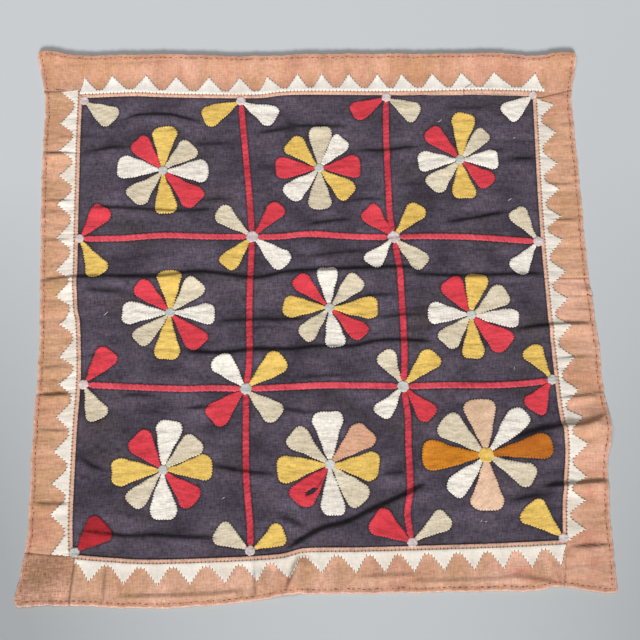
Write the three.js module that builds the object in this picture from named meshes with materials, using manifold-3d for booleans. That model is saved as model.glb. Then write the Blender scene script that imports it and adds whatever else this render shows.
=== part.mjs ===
// A square applique panel lying face up on a floor: a dark ground cloth, a tan border pieced from six
// lengths, white saw-tooth strips, a red grid and cut-out flowers, every piece sewn down flat by hand.
// Millimetres, +Z up, +Y away from the viewer. The origin is on the floor under the panel's middle.
import * as THREE from 'three';
import { mergeVertices } from 'three/addons/utils/BufferGeometryUtils.js';
import Module from 'manifold-3d';

const wasm = await Module();
wasm.setup();

// Layers of cloth
const CLOTH = 1.6;
const APPLIQUE = 1.0;
const GAP = 0.3;
// Room around a slanting edge, which leaves the full gap at right angles to it.
const SLANT_GAP = 0.5;

// Sizes of the sewn-on pieces
const STRIP_WIDTH = 10.4;
const TAN_MARGIN = 6.5;
const TOOTH_BASE = 8;
// Share of the way from one tooth tip to the next at which the valley between them lies.
const TOOTH_LEAN = 0.44;
const PETAL_ROOT = 3.5;
const PETAL_WIDEST = 0.76;
const PETAL_POINTS = 4;
const DISC_SIDES = 12;

// How finely the folds and edges are drawn
const SHEET_SPAN = 1040;
const EDGE_STEP = 50;
const STRIP_STEPS = 8;
const CORNER_STEPS = 3;
const PRISM = { low: -20, high: 60 };

const COLOURS = {
  indigo: '#4e4752',
  tan: '#d2a184',
  white: '#ebe3d8',
  ecru: '#d8ccb0',
  yellow: '#ecc76a',
  red: '#cf4450',
  orange: '#d98f33',
};

// The border's outer edge and the ground cloth's edge. Each side runs anticlockwise from its corner,
// which may be rounded over some millimetres, and its rows are [share of the way along, millimetres
// that the edge strays inwards].
const OUTER_EDGE = [
  { side: 'bottom', corner: [-485, -484], round: 16, strays: [[0.02, 1], [0.08, 2], [0.24, -6], [0.38, 0],
    [0.46, 10], [0.58, 9], [0.75, 8], [0.86, 7], [0.91, 12], [0.97, 1]] },
  { side: 'right', corner: [474, -481], round: 9, strays: [[0.12, 3], [0.22, 0], [0.28, -9], [0.35, -2],
    [0.44, 0], [0.58, 9], [0.75, 11], [0.9, 14], [0.96, 6], [0.99, 1]] },
  { side: 'top', corner: [476, 458], round: 14, strays: [[0.01, -1], [0.04, 0], [0.08, 8],
    [0.15, 2], [0.3, 4], [0.47, 5], [0.6, 10], [0.75, 7], [0.92, 10], [0.965, 2], [0.99, 0]] },
  { side: 'left', corner: [-481, 485], round: 15, strays: [[0.01, 1], [0.05, 8], [0.1, 16], [0.25, 16],
    [0.4, 20], [0.58, 24], [0.72, 19], [0.87, 18], [0.94, 10], [0.985, 1]] },
];
const GROUND_EDGE = [
  { side: 'bottom', corner: [-392, -402], strays: [[0.08, -7], [0.18, -12], [0.4, -10], [0.48, -1],
    [0.6, -2], [0.85, -2]] },
  { side: 'right', corner: [392, -396], strays: [[0.08, -4], [0.19, -13], [0.3, -6], [0.5, 0],
    [0.7, 3], [0.85, 2]] },
  { side: 'top', corner: [394, 382], strays: [[0.12, -3], [0.3, -1], [0.53, -3], [0.62, 3],
    [0.8, 0], [0.89, -3]] },
  { side: 'left', corner: [-400, 394], strays: [[0.15, -2], [0.45, -2], [0.52, 4], [0.63, 7],
    [0.75, 2], [0.92, -2]] },
];

// Seams that part the border into its lengths, from the ground cloth outwards.
const SEAMS = {
  topLeft: [[-385, 385], [-403, 407], [-600, 412]],
  topRight: [[380, 365], [392, 372], [600, 421]],
  right: [[380, 43], [600, 40]],
  bottomRight: [[385, -388], [399, -404], [391, -463], [380, -600]],
  bottomLeft: [[-385, -396], [-389, -410], [-396, -470], [-402, -600]],
  leftBottom: [[-385, -396], [-398, -404], [-467, -398], [-600, -396]],
};
const FAR = 600;
// The ground cloth's edge is nowhere nearer to the middle than this.
const GROUND_HALF = 370;

// White saw-tooth strips: where each starts, ends and has its tips, along X or along Y, and how high
// its teeth are.
const SAW_STRIPS = [
  { side: 'bottom', axis: 0, from: -388, to: 396, tooth: 27, tips: [-362, -307, -256, -205, -149, -99,
    -53, 6, 61, 107, 153, 201, 249, 295, 340, 387] },
  { side: 'right', axis: 1, from: -396, to: 373, tooth: 24, tips: [-377, -329, -290, -242, -201, -152,
    -96, -41, 6, 54, 111, 153, 204, 252, 310, 364] },
  { side: 'top', axis: 0, from: 415, to: -404, tooth: 27, tips: [399, 326, 270, 219, 164, 121, 70, 22,
    -20, -68, -123, -178, -236, -290, -347, -396] },
  { side: 'left', axis: 1, from: 410, to: -404, tooth: 23, tips: [406, 346, 295, 249, 195, 135, 77, 31,
    -15, -74, -123, -179, -236, -288, -338, -399] },
];

// The crossings of the red grid, row by row from the top left. Petals are [bearing, reach, half width].
const CROSSINGS = [
  [
    { at: [-396, 388], disc: 8, colour: 'ecru', petals: [[-36, 66, 22]] },
    { at: [-120, 381], disc: 8.5, colour: 'yellow', petals: [[205, 74, 21], [-31, 70, 21]] },
    { at: [136, 382], disc: 8.5, colour: 'red', petals: [[206, 67, 19], [-31, 65, 20]] },
    { at: [394, 380], disc: 7.5, colour: 'white', petals: [[216, 63, 21]] },
  ],
  [
    { at: [-397, 132], disc: 8, colour: 'red', petals: [[52, 70, 20], [-59, 75, 20]] },
    { at: [-102, 129], disc: 10.5, colour: 'ecru',
      petals: [[141, 76, 18], [48, 76, 16], [228, 72, 18], [-41, 78, 20]] },
    { at: [140, 122], disc: 11, colour: 'yellow',
      petals: [[131, 71, 19], [51, 75, 18], [229, 63, 17], [-46, 73, 18]] },
    { at: [386, 109], disc: 9, colour: 'ecru', petals: [[122, 70, 17], [229, 68, 18]] },
  ],
  [
    { at: [-383, -124], disc: 8.5, colour: 'red', petals: [[53, 72, 21], [-64, 64, 20]] },
    { at: [-114, -137], disc: 10, colour: 'white',
      petals: [[130, 73, 20], [41, 81, 21], [220, 78, 22], [-44, 73, 20]] },
    { at: [146, -139], disc: 10, colour: 'ecru',
      petals: [[117, 67, 17], [46, 79, 19], [230, 63, 17], [-48, 70, 18]] },
    { at: [393, -133], disc: 8.5, colour: 'yellow', petals: [[121, 67, 18], [232, 62, 21]] },
  ],
  [
    { at: [-390, -399], disc: 8.5, colour: 'red', petals: [[44, 66, 26]] },
    { at: [-109, -402], disc: 8.5, colour: 'ecru', petals: [[147, 64, 21], [27, 62, 19]] },
    { at: [151, -395], disc: 8.5, colour: 'red', petals: [[146, 75, 23], [36, 73, 18]] },
    { at: [393, -393], disc: 8, colour: 'yellow', petals: [[135, 76, 25]] },
  ],
];

// How each red strip bends between its crossings: [share of the way along, millimetres to its left].
const STRIP_BENDS = {
  strip_across_1_0: [[0.25, 0], [0.5, 4.5], [0.75, 1]],
  strip_across_1_1: [[0.2, 0.5], [0.4, 5], [0.75, 1]],
  strip_across_1_2: [[0.2, 3.5], [0.5, 4.5], [0.8, 2]],
  strip_across_2_0: [[0.3, -1.5], [0.6, -2.5], [0.8, 0]],
  strip_across_2_1: [[0.25, 2], [0.5, 4], [0.8, 2.5]],
  strip_across_2_2: [[0.25, -0.5], [0.6, -4.5], [0.85, -3.5]],
  strip_down_1_0: [[0.3, 0.5], [0.7, 1]],
  strip_down_1_1: [[0.4, 0], [0.6, 1.5], [0.8, 4]],
  strip_down_1_2: [[0.2, -1.5], [0.55, -3], [0.85, 1]],
  strip_down_2_0: [[0.25, -3.5], [0.6, -4.5], [0.85, -4.5]],
  strip_down_2_1: [[0.2, 6], [0.45, 7], [0.8, 5.5]],
  strip_down_2_2: [[0.2, 5], [0.4, 3], [0.65, 2], [0.82, -5]],
};

// The nine flowers, row by row. Petals run anticlockwise from +X: degrees that each strays from its even
// bearing, how far it reaches and half its width.
const FLOWERS = [
  [
    { at: [-256, 254], disc: 8.5, colour: 'yellow', strays: [-2, -2, -1, -5, -8, 2, 5, 0],
      reaches: [79, 70, 82, 76, 80, 75, 81, 86], halves: [22, 20, 22, 19, 22, 22, 20, 22] },
    { at: [15, 252], disc: 8.5, colour: 'ecru', strays: [2, 5, -2, 0, 0, 0, 0, 2],
      reaches: [71, 71, 76, 73, 75, 76, 76, 75], halves: [22, 18, 21, 20, 21, 20, 21, 20] },
    { at: [260, 262], disc: 8.5, colour: 'yellow', strays: [1, 1, -7, -3, 1, 1, 3, 3],
      reaches: [67, 71, 87, 79, 74, 74, 73, 69], halves: [18, 16, 21, 18, 19, 20, 21, 18] },
  ],
  [
    { at: [-241, -3], disc: 8.5, colour: 'white', strays: [-2, 2, 0, 1, -2, -2, -5, -3],
      reaches: [75, 72, 76, 76, 82, 74, 82, 78], halves: [19, 20, 21, 17, 20, 18, 22, 21] },
    { at: [27, -1], disc: 8.5, colour: 'red', strays: [-2, -1, 2, -1, -4, 2, 9, 4],
      reaches: [82, 74, 73, 76, 78, 69, 70, 76], halves: [20, 18, 18, 16, 20, 17, 18, 17] },
    { at: [265, -18], disc: 8.5, colour: 'yellow', strays: [-7, -14, -10, -13, -4, 1, 1, 0],
      reaches: [81, 73, 73, 71, 73, 70, 77, 81], halves: [17, 20, 20, 21, 20, 20, 19, 23] },
  ],
  [
    { at: [-250, -269], disc: 8.5, colour: 'white', strays: [2, -4, -7, -5, 1, 2, 0, 0],
      reaches: [80, 76, 83, 74, 85, 75, 81, 75], halves: [22, 20, 22, 23, 23, 19, 23, 21] },
    { at: [22, -266], disc: 9, colour: 'yellow', strays: [-5, -3, 2, 5, 4, 3, 2, -4],
      reaches: [80, 87, 88, 82, 87, 83, 84, 83], halves: [25, 24, 26, 21, 23, 23, 20, 22] },
    { at: [277, -256], disc: 13, colour: 'orange', strays: [8, 2, 4, 4, 0, 0, -1, 16],
      reaches: [109, 99, 94, 91, 104, 86, 90, 86], halves: [21, 20, 27, 24, 26, 19, 28, 20] },
  ],
];
// A worn hole in one petal of the lowest row's middle flower.
const HOLE = { row: 2, column: 1, at: [-9, -309], long: 11, short: 4, turn: 28 };

// Soft folds that stand up from the floor: crest from one point to another, its height, half the
// fold's width, and how far the crest bows to its left.
const FOLDS = [
  { name: 'waist', from: [-412, 58], to: [402, 47], height: 5, half: 24, bow: 9 },
  { name: 'under_middle_row', from: [-222, -76], to: [215, -67], height: 4.5, half: 22, bow: 3 },
  { name: 'heart', from: [-175, -24], to: [0, -23], height: 3, half: 18, bow: 0 },
  { name: 'upper_left_edge', from: [-404, 286], to: [-305, 295], height: 3.5, half: 16, bow: 0 },
  { name: 'over_first_flower', from: [-340, 341], to: [-182, 337], height: 4, half: 18, bow: 15 },
  { name: 'over_second_flower', from: [-100, 315], to: [82, 326], height: 3.5, half: 18, bow: 5 },
  { name: 'under_first_flower', from: [-265, 176], to: [-150, 180], height: 3, half: 16, bow: 0 },
  { name: 'under_second_flower', from: [-15, 144], to: [85, 155], height: 3, half: 16, bow: 0 },
  { name: 'under_third_flower', from: [215, 143], to: [345, 163], height: 3.5, half: 16, bow: 0 },
  { name: 'beside_third_flower', from: [72, 281], to: [198, 284], height: 2.5, half: 14, bow: -2 },
  { name: 'lower_diagonal', from: [-58, -412], to: [192, -296], height: 6, half: 22, bow: 4 },
  { name: 'lower_left', from: [-392, -366], to: [-150, -384], height: 3, half: 14, bow: -3 },
  { name: 'left_diagonal', from: [-396, -240], to: [-330, -273], height: 2.5, half: 12, bow: 0 },
  { name: 'between_lower_flowers', from: [-178, -265], to: [-55, -285], height: 2.5, half: 12, bow: 0 },
  { name: 'right_middle', from: [328, -50], to: [476, -44], height: 4, half: 16, bow: 0 },
  { name: 'right_shoulder', from: [392, -169], to: [480, -161], height: 3, half: 12, bow: 0 },
  { name: 'right_slope', from: [318, -244], to: [484, -205], height: 11, half: 28, bow: -3 },
  { name: 'right_low', from: [360, -312], to: [482, -306], height: 6, half: 18, bow: 0 },
  { name: 'right_foot', from: [395, -411], to: [478, -411], height: 4, half: 16, bow: 0 },
  { name: 'left_high', from: [-474, 287], to: [-404, 287], height: 4, half: 14, bow: 0 },
  { name: 'left_middle', from: [-472, 54], to: [-396, 56], height: 4.5, half: 16, bow: 0 },
  { name: 'left_low', from: [-470, -144], to: [-390, -146], height: 4.5, half: 16, bow: 0 },
  { name: 'left_foot', from: [-470, -320], to: [-392, -324], height: 3, half: 14, bow: 0 },
  { name: 'bottom_bulge', from: [-52, -482], to: [-22, -398], height: 7, half: 26, bow: 0 },
  { name: 'bottom_pleat', from: [-96, -488], to: [-100, -412], height: 3, half: 16, bow: 0 },
  { name: 'bottom_left', from: [-340, -492], to: [-336, -406], height: 2.5, half: 14, bow: 0 },
  { name: 'top_edge', from: [-470, 476], to: [470, 452], height: 8, half: 30, bow: -3 },
];
const FOLD_END = 0.25;
const FOLD_STEP = 85;
const FOLD_STEPS_LEAST = 4;
const FOLD_ROWS = 4;
const FOLD_SINK = 0.04;

const turned = (bearing) => THREE.MathUtils.degToRad(bearing);

function solidOf(geometry) {
  geometry.deleteAttribute('normal');
  geometry.deleteAttribute('uv');
  const merged = mergeVertices(geometry);
  const vertProperties = Float32Array.from(merged.attributes.position.array);
  const triVerts = Uint32Array.from(merged.index.array);
  return new wasm.Manifold(new wasm.Mesh({ numProp: 3, vertProperties, triVerts }));
}

const joined = (solids) => solids.reduce((whole, solid) => whole.add(solid));
const parted = (solid, cutters) => cutters.reduce((rest, cutter) => rest.subtract(cutter), solid);

// One fold as a block whose top swells from its rim to its crest, with the rim a hair under the sheet.
function foldBlock({ from, to, height, half, bow }, level) {
  const start = new THREE.Vector2(...from);
  const run = new THREE.Vector2(...to).sub(start);
  const left = new THREE.Vector2(-run.y, run.x).normalize();
  const steps = Math.max(FOLD_STEPS_LEAST, Math.round(run.length() / FOLD_STEP));
  const geometry = new THREE.BoxGeometry(1, 2, 1, steps, FOLD_ROWS, 1);
  const points = geometry.attributes.position;
  for (let i = 0; i < points.count; i += 1) {
    const along = points.getX(i) + 0.5;
    const across = points.getY(i);
    const end = THREE.MathUtils.smoothstep(Math.min(along, 1 - along), 0, FOLD_END);
    const swell = height * end * (1 - across ** 2) ** 2;
    const sideways = across * half + bow * 4 * along * (1 - along);
    const place = start.clone().addScaledVector(run, along).addScaledVector(left, sideways);
    const z = points.getZ(i) > 0 ? level + swell - FOLD_SINK : 2 * PRISM.low;
    points.setXYZ(i, place.x, place.y, z);
  }
  return solidOf(geometry);
}

// Everything below a sheet that follows the folds, at a given level above the cloth's underside.
function below(level) {
  const flat = new THREE.BoxGeometry(SHEET_SPAN, SHEET_SPAN, level - 2 * PRISM.low);
  flat.translate(0, 0, level / 2 + PRISM.low);
  return joined([solidOf(flat), ...FOLDS.map((fold) => foldBlock(fold, level))]);
}

const FLOOR_SIDE = below(0);
const CLOTH_TOP = below(CLOTH);
const APPLIQUE_UNDERSIDE = below(CLOTH + GAP);
const APPLIQUE_TOP = below(CLOTH + GAP + APPLIQUE);

const asCloth = (prism) => prism.intersect(CLOTH_TOP).subtract(FLOOR_SIDE);
const asApplique = (prism) => prism.intersect(APPLIQUE_TOP).subtract(APPLIQUE_UNDERSIDE);

// An upright prism over a closed outline in plan.
function prismOver(points) {
  const shape = new THREE.Shape(points.map(([x, y]) => new THREE.Vector2(x, y)));
  const depth = PRISM.high - PRISM.low;
  const geometry = new THREE.ExtrudeGeometry(shape, { depth, bevelEnabled: false });
  geometry.translate(0, 0, PRISM.low);
  return solidOf(geometry);
}

// A smooth line between two points through strays, given as [share of the way, millimetres to the left].
function bentCurve(start, end, strays) {
  const run = end.clone().sub(start);
  const left = new THREE.Vector2(-run.y, run.x).normalize();
  const between = strays.map(([share, stray]) => (
    start.clone().addScaledVector(run, share).addScaledVector(left, stray)));
  return new THREE.SplineCurve([start, ...between, end]);
}

// One side of an edge table as a smooth line from its corner to the next.
function sideCurve(edge, side) {
  const index = edge.findIndex((row) => row.side === side);
  const start = new THREE.Vector2(...edge[index].corner);
  const end = new THREE.Vector2(...edge[(index + 1) % edge.length].corner);
  return bentCurve(start, end, edge[index].strays);
}

// The points of a rounded corner between the side before it and the side after it.
function roundedCorner(before, after, reach) {
  const start = before.getPointAt(1 - reach / before.getLength());
  const end = after.getPointAt(reach / after.getLength());
  return new THREE.QuadraticBezierCurve(start, after.getPointAt(0), end).getPoints(CORNER_STEPS);
}

// A closed outline of all four sides, grown a little from the panel's middle.
function outlineOf(edge, grown = 1) {
  const curves = edge.map(({ side }) => sideCurve(edge, side));
  return curves.flatMap((curve, number) => {
    const { round } = edge[number];
    const steps = Math.round(curve.getLength() / EDGE_STEP);
    const points = Array.from({ length: steps }, (_, i) => curve.getPointAt(i / steps));
    if (round) {
      points.splice(0, 1, ...roundedCorner(curves.at(number - 1), curve, round));
    }
    return points.map(({ x, y }) => [x * grown, y * grown]);
  });
}

// A point of a side, or of its straight run past an end, moved outwards at right angles.
function pushed(curve, share, outwards) {
  const within = THREE.MathUtils.clamp(share, 0, 1);
  const point = curve.getPointAt(within);
  const along = curve.getTangentAt(within);
  point.addScaledVector(along, (share - within) * curve.getLength());
  return [point.x + along.y * outwards, point.y - along.x * outwards];
}

// A thin upright knife along a seam, which leaves a gap between the two lengths.
function seamKnife(points) {
  const blades = points.slice(1).map(([x, y], i) => {
    const run = [x - points[i][0], y - points[i][1]];
    const height = PRISM.high - PRISM.low;
    const geometry = new THREE.BoxGeometry(Math.hypot(...run) + GAP, GAP, height);
    geometry.rotateZ(Math.atan2(run[1], run[0]));
    geometry.translate(points[i][0] + run[0] / 2, points[i][1] + run[1] / 2, 0);
    return solidOf(geometry);
  });
  return joined(blades);
}

// The tan border: a ring around the ground cloth, cut at its seams and taken length by length.
function borderLengths() {
  const s = SEAMS;
  const inwards = (seam) => [...seam].reverse();
  const middle = prismOver(outlineOf(GROUND_EDGE, 1 + GAP / GROUND_HALF));
  const ring = prismOver(outlineOf(OUTER_EDGE)).subtract(middle);
  const cut = parted(ring, Object.values(s).map(seamKnife));
  const spans = {
    border_top: [...s.topRight, [FAR, FAR], [-FAR, FAR], ...inwards(s.topLeft)],
    border_left: [...s.topLeft, ...inwards(s.leftBottom)],
    border_corner: [...s.leftBottom, [-FAR, -FAR], ...inwards(s.bottomLeft).slice(0, -1)],
    border_bottom: [...s.bottomLeft, ...inwards(s.bottomRight)],
    border_right_lower: [...s.bottomRight, [FAR, -FAR], ...inwards(s.right)],
    border_right_upper: [...s.right, ...inwards(s.topRight)],
  };
  return Object.entries(spans).map(([name, outline]) => (
    { name, colour: 'tan', solid: asCloth(cut.intersect(prismOver(outline))) }));
}

// The outline of one petal that starts inside the disc and points along its bearing.
function petalOutline([x, y], bearing, reach, half, grow) {
  const side = [];
  for (let i = 0; i < PETAL_POINTS; i += 1) {
    const angle = (i / (PETAL_POINTS - 0.5)) * (Math.PI / 2);
    const along = reach * (PETAL_WIDEST + (1 - PETAL_WIDEST) * Math.sin(angle));
    side.push([along + grow, half * Math.cos(angle) + grow]);
  }
  side.unshift([PETAL_ROOT, PETAL_ROOT + grow]);
  const mirror = side.map(([along, across]) => [along, -across]).reverse();
  const cos = Math.cos(turned(bearing));
  const sin = Math.sin(turned(bearing));
  return [...mirror, ...side].map(([along, across]) => (
    [x + along * cos - across * sin, y + along * sin + across * cos]));
}

function discOutline([x, y], radius) {
  return Array.from({ length: DISC_SIDES }, (_, i) => {
    const angle = (i / DISC_SIDES) * 2 * Math.PI;
    return [x + radius * Math.cos(angle), y + radius * Math.sin(angle)];
  });
}

// Petals and disc of one crossing, grown by a gap where it cuts its neighbours.
function crossingPrism({ at, disc, petals }, grow = 0) {
  const cutOuts = petals.map(([bearing, reach, half]) => (
    prismOver(petalOutline(at, bearing, reach, half, grow))));
  return joined([prismOver(discOutline(at, disc + grow)), ...cutOuts]);
}

// Petals all round and a disc.
function flowerPrism({ at, disc, strays, reaches, halves }) {
  const petals = strays.map((stray, i) => (
    prismOver(petalOutline(at, (i * 360) / strays.length + stray, reaches[i], halves[i], 0))));
  return joined([prismOver(discOutline(at, disc)), ...petals]);
}

function holePrism({ at, long, short, turn }) {
  const cos = Math.cos(turned(turn));
  const sin = Math.sin(turned(turn));
  const outline = discOutline([0, 0], 1).map(([u, v]) => (
    [at[0] + u * long * cos - v * short * sin, at[1] + u * long * sin + v * short * cos]));
  return prismOver(outline);
}

// A strip of the red grid from one crossing to the next, along its bends.
function gridStrip(start, end, bends) {
  const curve = bentCurve(new THREE.Vector2(...start), new THREE.Vector2(...end), bends);
  const shares = Array.from({ length: STRIP_STEPS + 1 }, (_, i) => i / STRIP_STEPS);
  const right = shares.map((share) => pushed(curve, share, STRIP_WIDTH / 2));
  const left = shares.map((share) => pushed(curve, share, -STRIP_WIDTH / 2));
  return prismOver([...right, ...left.reverse()]);
}

// A white strip: straight along the tan margin, with hand-cut teeth pointing outwards.
function sawPrism({ side, axis, from, to, tooth, tips }) {
  const curve = sideCurve(GROUND_EDGE, side);
  const first = curve.getPointAt(0).getComponent(axis);
  const last = curve.getPointAt(1).getComponent(axis);
  const at = (place, outwards) => pushed(curve, (place - first) / (last - first), outwards);
  const valley = TAN_MARGIN + TOOTH_BASE;
  const feet = [from, ...tips.slice(1).map((tip, i) => tips[i] + TOOTH_LEAN * (tip - tips[i])), to];
  const outer = tips.flatMap((tip, i) => [at(feet[i], valley), at(tip, valley + tooth)]);
  const inner = feet.filter((_, i) => i % 2 === 0).map((foot) => at(foot, TAN_MARGIN));
  return prismOver([...outer, at(to, valley), ...inner.reverse()]);
}

function allPieces() {
  const crossings = CROSSINGS.flat();
  const cutters = crossings.map((crossing) => crossingPrism(crossing, SLANT_GAP));
  const pieces = [
    { name: 'ground_cloth', colour: 'indigo', solid: asCloth(prismOver(outlineOf(GROUND_EDGE))) },
    ...borderLengths(),
  ];
  SAW_STRIPS.forEach((strip) => {
    const solid = asApplique(parted(sawPrism(strip), cutters));
    pieces.push({ name: `sawtooth_${strip.side}`, colour: 'white', solid });
  });
  const last = CROSSINGS.length - 1;
  CROSSINGS.forEach((row, r) => row.forEach((crossing, c) => {
    const solid = asApplique(crossingPrism(crossing));
    pieces.push({ name: `crossing_${r}_${c}`, colour: crossing.colour, solid });
    if (r > 0 && r < last && c < last) {
      const name = `strip_across_${r}_${c}`;
      const strip = parted(gridStrip(crossing.at, row[c + 1].at, STRIP_BENDS[name]), cutters);
      pieces.push({ name, colour: 'red', solid: asApplique(strip) });
    }
    if (c > 0 && c < last && r < last) {
      const name = `strip_down_${c}_${r}`;
      const strip = parted(gridStrip(crossing.at, CROSSINGS[r + 1][c].at, STRIP_BENDS[name]), cutters);
      pieces.push({ name, colour: 'red', solid: asApplique(strip) });
    }
  }));
  FLOWERS.forEach((row, r) => row.forEach((flower, c) => {
    const worn = r === HOLE.row && c === HOLE.column;
    const prism = flowerPrism(flower);
    const solid = asApplique(worn ? prism.subtract(holePrism(HOLE)) : prism);
    pieces.push({ name: `flower_${r}_${c}`, colour: flower.colour, solid });
  }));
  return pieces;
}

function meshOf({ name, colour, solid }) {
  const { vertProperties, triVerts } = solid.getMesh();
  const geometry = new THREE.BufferGeometry();
  geometry.setAttribute('position', new THREE.BufferAttribute(vertProperties, 3));
  geometry.setIndex(new THREE.BufferAttribute(triVerts, 1));
  const material = new THREE.MeshStandardMaterial({ color: COLOURS[colour], roughness: 0.9, metalness: 0 });
  const mesh = new THREE.Mesh(geometry, material);
  mesh.name = name;
  return mesh;
}

const panel = new THREE.Group();
panel.add(...allPieces().map(meshOf));

export default panel;
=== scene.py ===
# %% [markdown]
# # A hand-sewn applique panel
#
# The object is a cotton square of about 97 cm a side that lies face up on a pale floor. A dark ground cloth
# has a tan border pieced from six lengths, and on these lie white saw-tooth strips, a red grid and cut-out
# flowers, all sewn down by hand. Every piece is a thin closed sheet that follows one shared surface, the way
# the panel lies with its folds and ripples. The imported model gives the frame: +Z is up, +Y is away from the
# viewer and the origin is on the floor under the middle. Lengths below are millimetres, as a sewer would
# measure them, and each mesh is turned into metres when it is made.

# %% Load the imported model
import math
from collections import namedtuple

import bmesh
import bpy
import numpy as np
from mathutils import Matrix, Vector, kdtree


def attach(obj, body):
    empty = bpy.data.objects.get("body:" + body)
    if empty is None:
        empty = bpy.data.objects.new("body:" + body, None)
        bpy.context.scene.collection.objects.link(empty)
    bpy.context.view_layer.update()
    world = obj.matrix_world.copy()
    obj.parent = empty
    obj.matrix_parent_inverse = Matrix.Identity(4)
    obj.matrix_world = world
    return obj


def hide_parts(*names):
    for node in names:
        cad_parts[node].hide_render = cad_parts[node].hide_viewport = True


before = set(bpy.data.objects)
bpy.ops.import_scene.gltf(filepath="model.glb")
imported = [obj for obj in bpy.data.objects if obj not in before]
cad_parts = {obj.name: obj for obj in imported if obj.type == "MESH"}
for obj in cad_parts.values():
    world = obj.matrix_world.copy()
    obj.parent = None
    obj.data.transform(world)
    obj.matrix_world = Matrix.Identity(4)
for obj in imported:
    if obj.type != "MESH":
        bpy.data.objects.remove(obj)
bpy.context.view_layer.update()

METRE = 1000.0

# %% [markdown]
# ## Camera
#
# The panel is seen from above and a little from its near side, as someone standing at the lower edge would
# see it. The lens is long, so the far edge is only a little shorter than the near one, and the view is rolled
# by about a degree.

# %% Camera over the near edge
TILT = math.radians(15.5)
ROLL = math.radians(-1.25)
AIM = Vector((0.0109, -0.0208, 0.0))
DISTANCE = 2.185
camera_data = bpy.data.cameras.new("over_the_near_edge")
camera_data.lens = 73.125
camera_data.sensor_width = 36.0
camera = bpy.data.objects.new("over_the_near_edge", camera_data)
eye = AIM + DISTANCE * Vector((0.0, -math.sin(TILT), math.cos(TILT)))
camera.matrix_world = Matrix.Translation(eye) @ Matrix.Rotation(TILT, 4, "X") @ Matrix.Rotation(ROLL, 4, "Z")
bpy.context.scene.collection.objects.link(camera)
bpy.context.scene.camera = camera
bpy.context.scene.view_settings.view_transform = "Standard"
print("camera", round(eye.length, 3), "m from the middle")

# %% [markdown]
# ## Lines in plan
#
# Everything was cut by eye, so each edge is a smooth line through a few measured points. A few small helpers
# are enough for all of them: a soft step, a soft bump, a turn about the origin, even steps along a line, and
# a line that passes smoothly through its points.

# %% Soft steps, turns and smooth lines
def ease(low, high, x):
    """A soft step that is 0 below low and 1 above high."""
    t = np.clip((np.asarray(x, float) - low) / (high - low), 0, 1)
    return t * t * (3 - 2 * t)


def bell(x, width):
    """A soft bump that is 1 at 0 and falls off over some width."""
    return np.exp(-(x / width) ** 2)


def turned(x, y, degrees):
    """Points turned anticlockwise about the origin."""
    turn = math.radians(degrees)
    return x * math.cos(turn) - y * math.sin(turn), x * math.sin(turn) + y * math.cos(turn)


def run_along(line):
    """Millimetres from the line's start to each of its points."""
    return np.r_[0, np.cumsum(np.hypot(*np.diff(line, axis=0).T))]


def points_at(places, marks, points):
    """Points at some places between others that are known at given marks."""
    return np.column_stack([np.interp(places, marks, column) for column in points.T])


def stretch(line, start=0.0, end=1.0, count=400):
    """Even points between two shares of a line's length, or backwards if end is before start."""
    line = np.asarray(line, float)
    gone = run_along(line)
    return points_at(np.linspace(start, end, count) * gone[-1], gone, line)


def smooth_line(points, steps=40):
    """A line that passes smoothly through a few points."""
    points = np.asarray(points, float)
    p = np.vstack([points[0], points, points[-1]])
    t = np.linspace(0, 1, steps, endpoint=False)[:, None]
    parts = []
    for before, a, b, after in zip(p[:-3], p[1:-2], p[2:-1], p[3:]):
        leave, arrive = (b - before) / 2, (after - a) / 2
        cubic = 2 * a - 2 * b + leave + arrive
        square = -3 * a + 3 * b - 2 * leave - arrive
        parts.append(cubic * t**3 + square * t**2 + leave * t + a)
    return stretch(np.vstack([*parts, p[-1]]))


def bent_line(start, end, strays):
    """A smooth line between two points through strays: (share of the way, millimetres to the left)."""
    start, end = np.array(start, float), np.array(end, float)
    run = end - start
    left = np.array([-run[1], run[0]]) / np.hypot(*run)
    return smooth_line([start, *[start + share * run + stray * left for share, stray in strays], end])


# %% [markdown]
# ## The two outlines
#
# The border's outer edge and the ground cloth's edge both stray by up to two centimetres from a true square.
# Each side runs anticlockwise from its corner, with strays as (share of the way along, millimetres inwards).
# The hem was rolled and stitched by hand, so its corners are rounded and its edge wavers by about a
# millimetre: three waves, each with its size, its length for one radian and its shift.

# %% Outer edge and ground edge
Side = namedtuple("Side", "corner strays")
CORNER_ROUND = {"bottom": 16, "right": 9, "top": 14, "left": 15}
OUTER_EDGE = {
    "bottom": Side((-485, -484), [(0.02, 1), (0.08, 2), (0.24, -6), (0.38, 0), (0.46, 10), (0.58, 9),
                                  (0.75, 8), (0.86, 7), (0.91, 12), (0.97, 1)]),
    "right": Side((474, -481), [(0.12, 3), (0.22, 0), (0.28, -9), (0.35, -2), (0.44, 0), (0.58, 9),
                                (0.75, 11), (0.9, 14), (0.96, 6), (0.99, 1)]),
    "top": Side((476, 458), [(0.01, -1), (0.04, 0), (0.08, 8), (0.15, 2), (0.3, 4), (0.47, 5), (0.6, 10),
                             (0.75, 7), (0.92, 10), (0.965, 2), (0.99, 0)]),
    "left": Side((-481, 485), [(0.01, 1), (0.05, 8), (0.1, 16), (0.25, 16), (0.4, 20), (0.58, 24),
                               (0.72, 19), (0.87, 18), (0.94, 10), (0.985, 1)]),
}
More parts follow.
